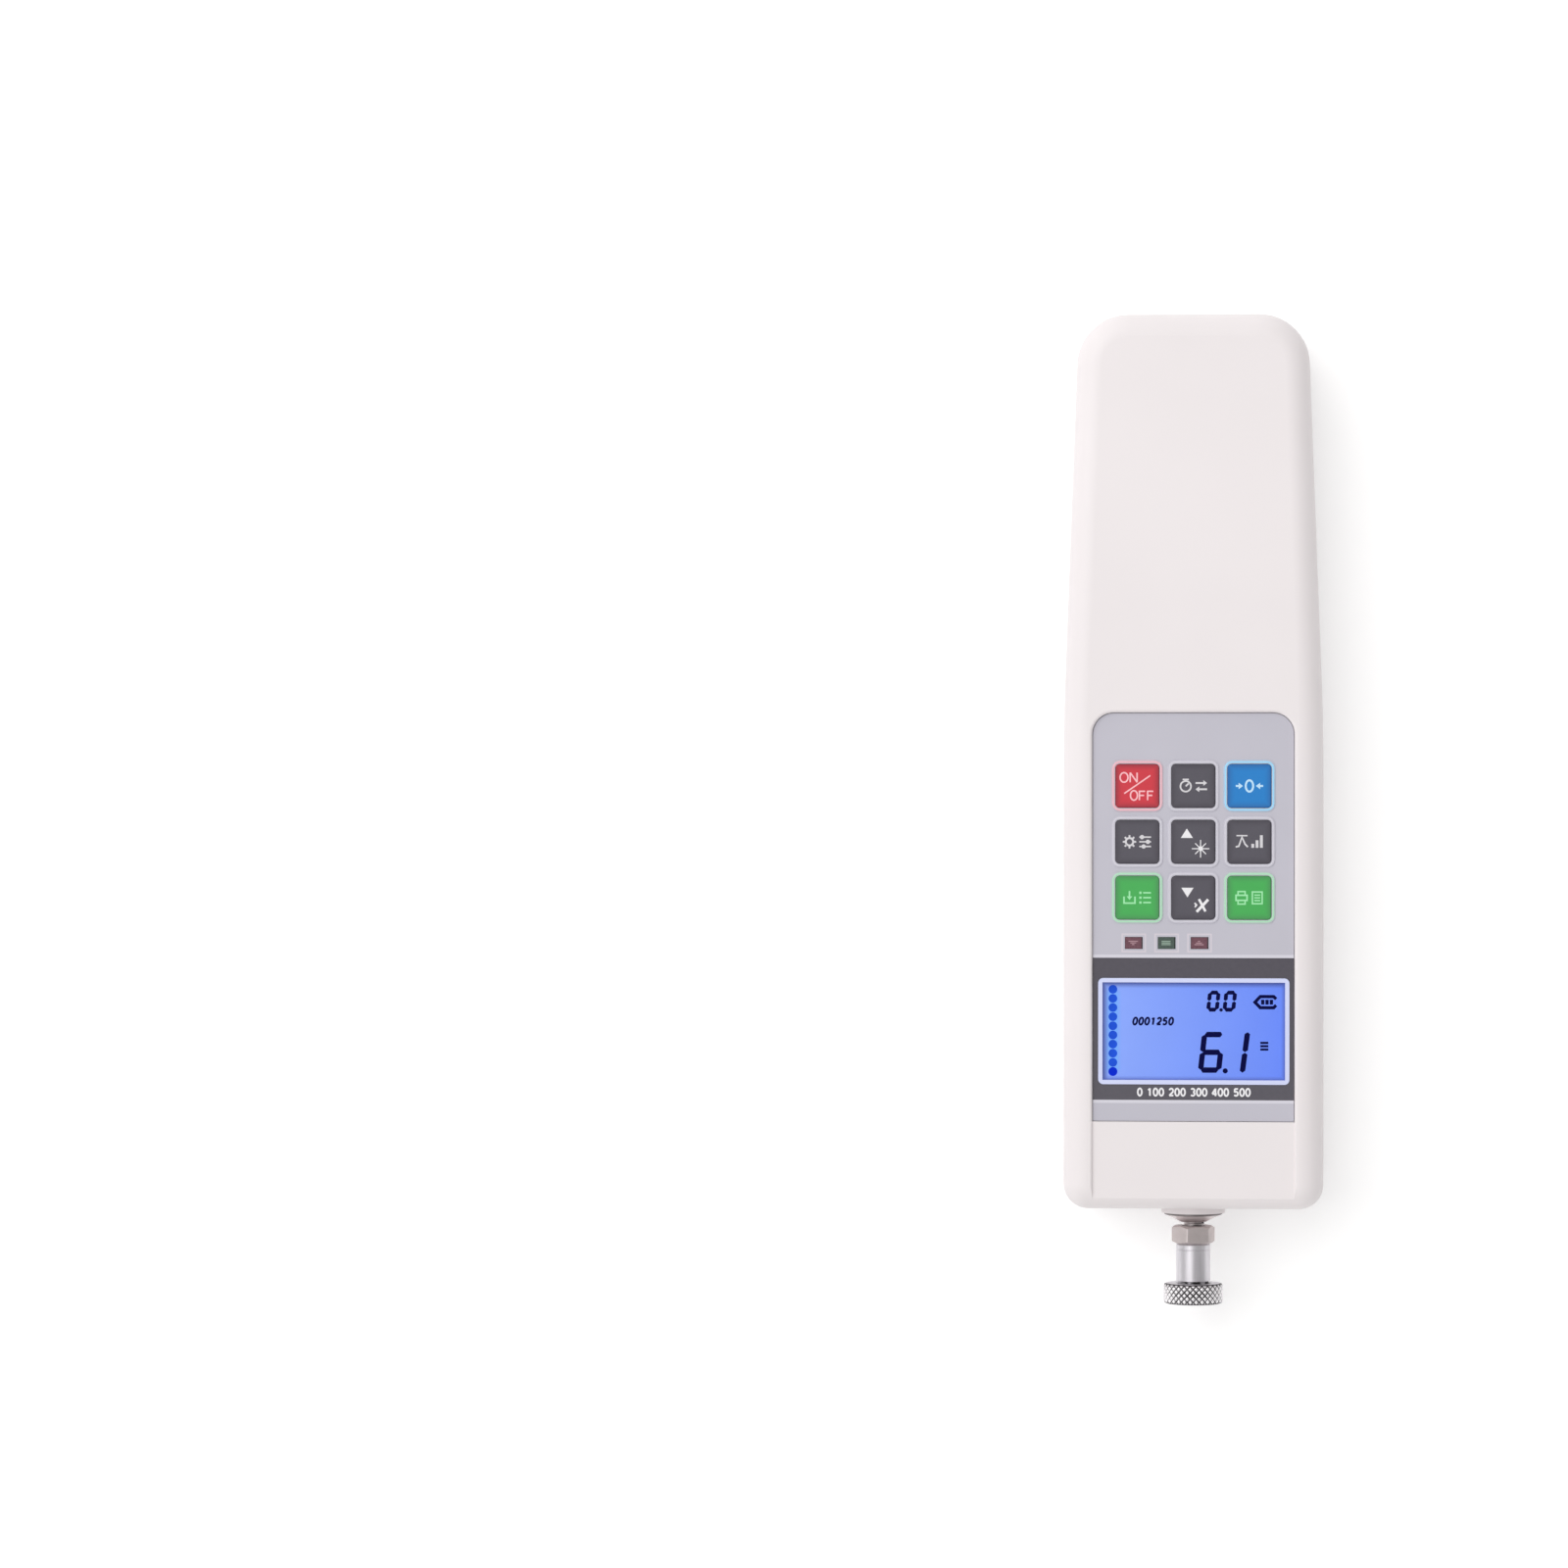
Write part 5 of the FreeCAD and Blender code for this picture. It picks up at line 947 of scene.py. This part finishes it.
def knurled_head():
    """Flat head: a plain shank with an undercut, and a disc with a diamond knurl round its rim."""
    low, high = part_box("flat_head")
    radius = (high.x - low.x) / 2 / MM
    bottom, top = low.y / MM, high.y / MM
    ridges, rows, fine, around = 30, 30, 10, 96
    knurl_depth, groove_width, edge_round = 0.55, 0.55, 0.85
    steps = ridges * fine
    pitch = 2 * math.pi * radius / ridges
    verts, faces = [], []
    for k in range(rows + 1):
        y = bottom + HEAD_DISC * k / rows
        fade = min(1.0, min(k, rows - k) / rows * HEAD_DISC)
        rounding = edge_round * (1 - math.sqrt(1 - (1 - fade) ** 2))
        for i, angle in enumerate(round_angles(steps)):
            across, along = i / fine, (y - bottom) / pitch
            groove = 0.0
            for t in (across + along, across - along):
                groove = max(groove, 1 - abs(t - math.floor(t) - 0.5) * 2 / groove_width)
            r = radius - rounding - knurl_depth * groove * min(1.0, 0.25 + fade)
            verts.append(turned(r, y, angle))
    for n, (a, b, c, d) in enumerate(wrapped(rows + 1, steps)):
        # The diagonal of each face follows its groove
        k, i = divmod(n, steps)
        faces += [(a, b, c), (a, c, d)] if (i // (fine // 2) + k) % 2 else [(a, b, d), (b, c, d)]
    knurl = piece("head_knurl", verts, faces, KNURL, "head", "head_steel", 70)
    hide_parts("flat_head")
    rim, neck, disc_top = radius - 0.8, SHANK - 0.45, bottom + HEAD_DISC
    face = lathe([(0.0, bottom + 0.12), (0.45, bottom + 0.12), (0.7, bottom), (rim, bottom)], around)
    bore, bore_end = 3.0, top - 9.0
    profile = [  # undercut, shank with a fine ring groove, mouth and bore
        (rim, disc_top), (neck + 0.1, disc_top), (neck, disc_top + 0.05), (neck, disc_top + 0.5),
        (SHANK, disc_top + 0.62), (SHANK, top - 1.8), (SHANK - 0.09, top - 1.72), (SHANK - 0.09, top - 1.58),
        (SHANK, top - 1.5), (SHANK, top - 0.45), (SHANK - 0.3, top - 0.03), (SHANK - 0.4, top),
        (bore + 0.3, top), (bore, top - 0.3), (bore, bore_end), (0.0, bore_end),
    ]
    piece("head_body", *added(face, lathe(profile, around)), HEAD, "head", "head_steel", 35)


def threaded_shaft():
    """Shaft with a rolled thread below its collar."""
    low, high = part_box("measuring_shaft")
    tip, end = low.y / MM, high.y / MM
    collar_low, collar_radius, collar_height = end - 10.0, 5.0, 2.0
    crest, root, pitch, around = 2.95, 2.36, 1.0, 40
    neck, base = crest - 0.4, root - 0.02
    profile = [
        (0.0, tip), (root - 0.3, tip), (root, tip + 0.4), (root, collar_low - 0.6), (neck, collar_low - 0.5),
        (neck, collar_low), (collar_radius, collar_low), (collar_radius, collar_low + collar_height),
        (crest, collar_low + collar_height), (crest, end), (0.0, end),
    ]
    start, finish = tip + 0.5, collar_low - 0.9
    total = int((finish - start) / pitch) * around
    verts, faces = [], []
    ridge = ((0.0, base), (0.32, crest), (0.44, crest), (0.76, base))
    across = len(ridge)
    run_out = around * 0.6
    for s in range(total + 1):
        angle = 2 * math.pi * s / around
        taper = min(1.0, s / run_out, (total - s) / run_out)
        for offset, radius in ridge:
            verts.append(turned(base + (radius - base) * taper, start + pitch * (s / around + offset), angle))
    for s in range(total):
        for p in range(across - 1):
            a, b = s * across + p, (s + 1) * across + p
            faces.append((a, b, b + 1, a + 1))
    shaft = piece("shaft_thread", *added(lathe(profile, 64), (verts, faces)), SHAFT, "shaft", "shaft_steel", 40)
    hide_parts("measuring_shaft")


def cross_screw(x, y, face, length):
    """Pan-head screw with a cross recess. Its face points down, and its length runs up from there."""
    head, shank, height, steps = 2.75, 1.5, 2.0, 40
    edge, under = height * 0.45, face + height
    mesh = bmesh.new()

    def raised(points, z):
        return [mesh.verts.new((px, py, z)) for px, py in points]

    def band(a, b):
        for i in range(len(a)):
            j = (i + 1) % len(a)
            mesh.faces.new((a[i], a[j], b[j], b[i]))

    profile = []
    for degrees in (0, 22.5, 45, 67.5, 90):
        angle = math.radians(degrees)
        profile.append((head - edge * (1 - math.sin(angle)), face + edge * (1 - math.cos(angle))))
    profile += [(head, under), (shank, under), (shank, face + length)]
    rings = [raised(circle(x, y, radius, steps), z) for radius, z in profile]
    for a, b in zip(rings, rings[1:]):
        band(a, b)
    mesh.faces.new(rings[-1])
    arm, half, taper, depth = head * 0.52, 0.36, 0.55, height * 0.62
    outline = (
        (half, half), (half, arm), (-half, arm), (-half, half), (-arm, half), (-arm, -half),
        (-half, -half), (-half, -arm), (half, -arm), (half, -half), (arm, -half), (arm, half),
    )
    cross = raised([(x + px, y + py) for px, py in outline], face)
    bottom = raised([(x + px * taper, y + py * taper) for px, py in outline], face + depth)
    band(cross, bottom)
    mesh.faces.new(bottom)
    edges = []
    for loop in (cross, rings[0]):
        for a, b in zip(loop, loop[1:] + loop[:1]):
            edges.append(mesh.edges.get((a, b)) or mesh.edges.new((a, b)))
    bmesh.ops.triangle_fill(mesh, edges=edges, use_beauty=True)
    mesh.verts.index_update()
    verts = [tuple(v.co) for v in mesh.verts]
    faces = [tuple(v.index for v in f.verts) for f in mesh.faces]
    mesh.free()
    return verts, faces


def snap_domes():
    """Sprung dome under each key."""
    low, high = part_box("snap_domes")
    back, height = low.z / MM, (high.z - low.z) / MM
    foot = high.x / MM - max(middle(name)[0] for name in KEYS)
    sheet, crown, steps = 0.1, 2.2, 32
    slope = []
    for t in (0, 0.15, 0.35, 0.6, 0.8, 1):
        slope.append((foot + (crown - foot) * t, height * math.sin(math.pi / 2 * t) ** 0.8))
    inside = [(radius - sheet, max(0.0, z - sheet)) for radius, z in slope]
    profile = [(0, height), *reversed(slope), *inside, (0, height - sheet)]
    for name in KEYS:
        x, y = middle(name)[:2]
        verts = [(px, py, back + z) for radius, z in profile for px, py in circle(x, y, radius, steps)]
        dome = piece("dome_" + name, verts, wrapped(len(profile), steps), SPRING, "housing", "spring_steel", 40)
        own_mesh(dome)
        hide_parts("snap_domes")


def load_cell():
    """Load cell and its gauges, copied whole from their nodes. In the real gauge the beam bends between the upper
    arm, on the case, and the lower, on the shaft.
    """
    for node, name, finish, slot in (
        ("load_cell", "bending_cell", CELL, "cell_steel"),
        ("strain_gauges", "cell_gauges", FOIL, "foil_copper"),
    ):
        mesh = NODES[node].data.copy()
        mesh.materials.clear()
        mesh.materials.append(finish.material)
        obj = linked(name, mesh)
        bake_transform(obj)
        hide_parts(node)


def screw_centres(node):
    """Middle of each loose part of a node's mesh, from above."""
    mesh = bmesh.new()
    mesh.from_mesh(NODES[node].data)
    bmesh.ops.remove_doubles(mesh, verts=mesh.verts, dist=1e-6)
    seen, centres = set(), []
    for vert in mesh.verts:
        if vert in seen:
            continue
        seen.add(vert)
        group, stack = [], [vert]
        while stack:
            v = stack.pop()
            group.append(v.co)
            for edge in v.link_edges:
                other = edge.other_vert(v)
                if other not in seen:
                    seen.add(other)
                    stack.append(other)
        xs, ys = [c.x for c in group], [c.y for c in group]
        centres.append(((min(xs) + max(xs)) / 2 / MM, (min(ys) + max(ys)) / 2 / MM))
    mesh.free()
    return centres


def case_screws():
    """The six screws in the back, with their cross recesses."""
    low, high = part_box("case_screws")
    parts = ([], [])
    for x, y in screw_centres("case_screws"):
        parts = added(parts, cross_screw(x, y, low.z / MM, (high.z - low.z) / MM))
    screws = piece("back_screws", *parts, SCREW, "housing", "screw_steel", 35)
    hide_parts("case_screws")


def socket_contacts():
    """Five contacts on the tongue of the data port."""
    low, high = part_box("data_port")
    x, z, mouth = (low.x + high.x) / 2 / MM, (low.z + high.z) / 2 / MM, high.y / MM
    pitch, half, tongue, height = 0.8, 0.2, z + 0.55, 0.06
    bottom, top, inner, outer = tongue - 0.05, tongue + height, mouth - 7.0, mouth - 1.1
    verts, faces = [], []
    for i in range(-2, 3):
        n, left, right = len(verts), x + i * pitch - half, x + i * pitch + half
        for y in (inner, outer):
            verts += [(left, y, bottom), (right, y, bottom), (right, y, top), (left, y, top)]
        faces += [(n, n + 1, n + 2, n + 3), (n + 4, n + 7, n + 6, n + 5)]
        faces += [(n + a, n + 4 + a, n + 4 + (a + 1) % 4, n + (a + 1) % 4) for a in range(4)]
    piece("port_contacts", verts, faces, GOLD, "housing", "tab_nickel")


# Light, floor and camera. Places, sizes and distances are in metres, the camera's lens and sensor in millimetres.

LIGHT_WHITE = (1.0, 0.995, 0.99)
DOME_LOW, DOME_HIGH = 0.56, 0.39  # strength at the horizon and overhead
DOME_SIDE, DOME_LEAN = (-0.22, -0.1, 0.0), 0.45  # side that is brighter, and by how much
DOME_MIDDLE, DOME_ENDS = 0.86, 2.1  # factors across the gauge and towards its two ends
KEY_DIRECTION = Vector((-0.43, 0.32, 0.85)).normalized()
KEY_DISTANCE, KEY_ENERGY, KEY_SIZE = 1.5, 13.4, 1.8
FLOOR_HALF, FLOOR_GAP, FLOOR_GLOW = 6.0, 0.0003, 0.28
CAMERA_PLACE, CAMERA_AIM = Vector((0, 0, 1.5)), Vector((-0.1062, -0.0058, AXIS_Z))
CAMERA_LENS, CAMERA_SENSOR = 131.15, 36.0


def world():
    """Soft studio dome, brighter near the horizon, at both ends of the gauge and on its left."""
    studio = bpy.data.worlds.new("studio")
    bpy.context.scene.world = studio
    g = Graph(studio)
    toward = g.tree.nodes.new("ShaderNodeTexCoord").outputs["Generated"]
    split = g.node("ShaderNodeSeparateXYZ", {0: toward})
    side = g.vector("DOT_PRODUCT", toward, DOME_SIDE, "Value")
    height = g.spread(split.outputs["Z"], DOME_LOW, DOME_HIGH, 0.0, 0.95)
    lean = g.spread(side, 1 - DOME_LEAN, 1 + DOME_LEAN, -1.0, 1.0)
    ends = g.spread(g.math("ABSOLUTE", split.outputs["Y"]), DOME_MIDDLE, DOME_ENDS, 0.0, 1.0)
    back = g.tree.nodes["Background"]
    g.plug(g.math("MULTIPLY", g.math("MULTIPLY", height, lean), ends), back.inputs["Strength"])
    g.plug((*LIGHT_WHITE, 1.0), back.inputs["Color"])


def floor():
    """Pale floor that shows the object's soft shadow. Only camera, mirror and glass rays see its glow."""
    f = Finish("floor", (0.93, 0.93, 0.93, 1), 0.9)
    f.feed("Specular IOR Level", 0.0)
    path = f.tree.nodes.new("ShaderNodeLightPath").outputs
    seen = path["Is Camera Ray"]
    for ray in ("Is Glossy Ray", "Is Transmission Ray"):
        seen = f.math("MAXIMUM", seen, path[ray])
    glow = f.node("ShaderNodeEmission", {"Strength": f.math("MULTIPLY", seen, FLOOR_GLOW)})
    total = f.node("ShaderNodeAddShader", {0: f.shader.outputs[0], 1: glow.outputs[0]})
    f.plug(total.outputs[0], f.tree.nodes["Material Output"].inputs["Surface"])
    mesh = bpy.data.meshes.new("floor")
    corners = [(x * FLOOR_HALF, y * FLOOR_HALF, 0) for x, y in ((-1, -1), (1, -1), (1, 1), (-1, 1))]
    mesh.from_pydata(corners, [], [(0, 1, 2, 3)])
    mesh.materials.append(f.material)
    plane = linked("floor", mesh)
    plane.location.z = CAD_BOX[0][2] - FLOOR_GAP


def key_light():
    """Large soft lamp above, to the upper left."""
    lamp = bpy.data.lights.new("key_light", "AREA")
    lamp.shape = "DISK"
    lamp.size = KEY_SIZE
    lamp.energy = KEY_ENERGY
    lamp.color = LIGHT_WHITE
    obj = linked("key_light", lamp)
    obj.location = KEY_DIRECTION * KEY_DISTANCE
    obj.rotation_euler = KEY_DIRECTION.to_track_quat("Z", "Y").to_euler()


def camera():
    """Looks straight down on the gauge, which is right of the frame's middle."""
    data = bpy.data.cameras.new("camera")
    data.lens = CAMERA_LENS
    data.sensor_width = CAMERA_SENSOR
    obj = linked("camera", data)
    back = (CAMERA_PLACE - CAMERA_AIM).normalized()
    right = Vector((0, 1, 0)).cross(back).normalized()
    turn = Matrix((right, back.cross(right), back)).transposed()
    obj.matrix_world = Matrix.Translation(CAMERA_PLACE) @ turn.to_4x4()
    bpy.context.scene.camera = obj


def soften_edges():
    """Small bevels on the sharp edges of visible pieces."""
    for name, width in (("display_frame", 0.18), ("lock_nut", 0.08), ("data_port", 0.05), ("nose_bush", 0.06)):
        bevel = NODES[name].modifiers.new("soft_edge", "BEVEL")
        bevel.width = width * MM
        bevel.segments = 2
        bevel.limit_method = "ANGLE"
        bevel.angle_limit = math.radians(35)


dress_nodes()
keys()
display()
lights()
knurled_head()
threaded_shaft()
snap_domes()
load_cell()
case_screws()
socket_contacts()
soften_edges()
world()
floor()
key_light()
camera()
bpy.context.scene.view_settings.view_transform = "Standard"
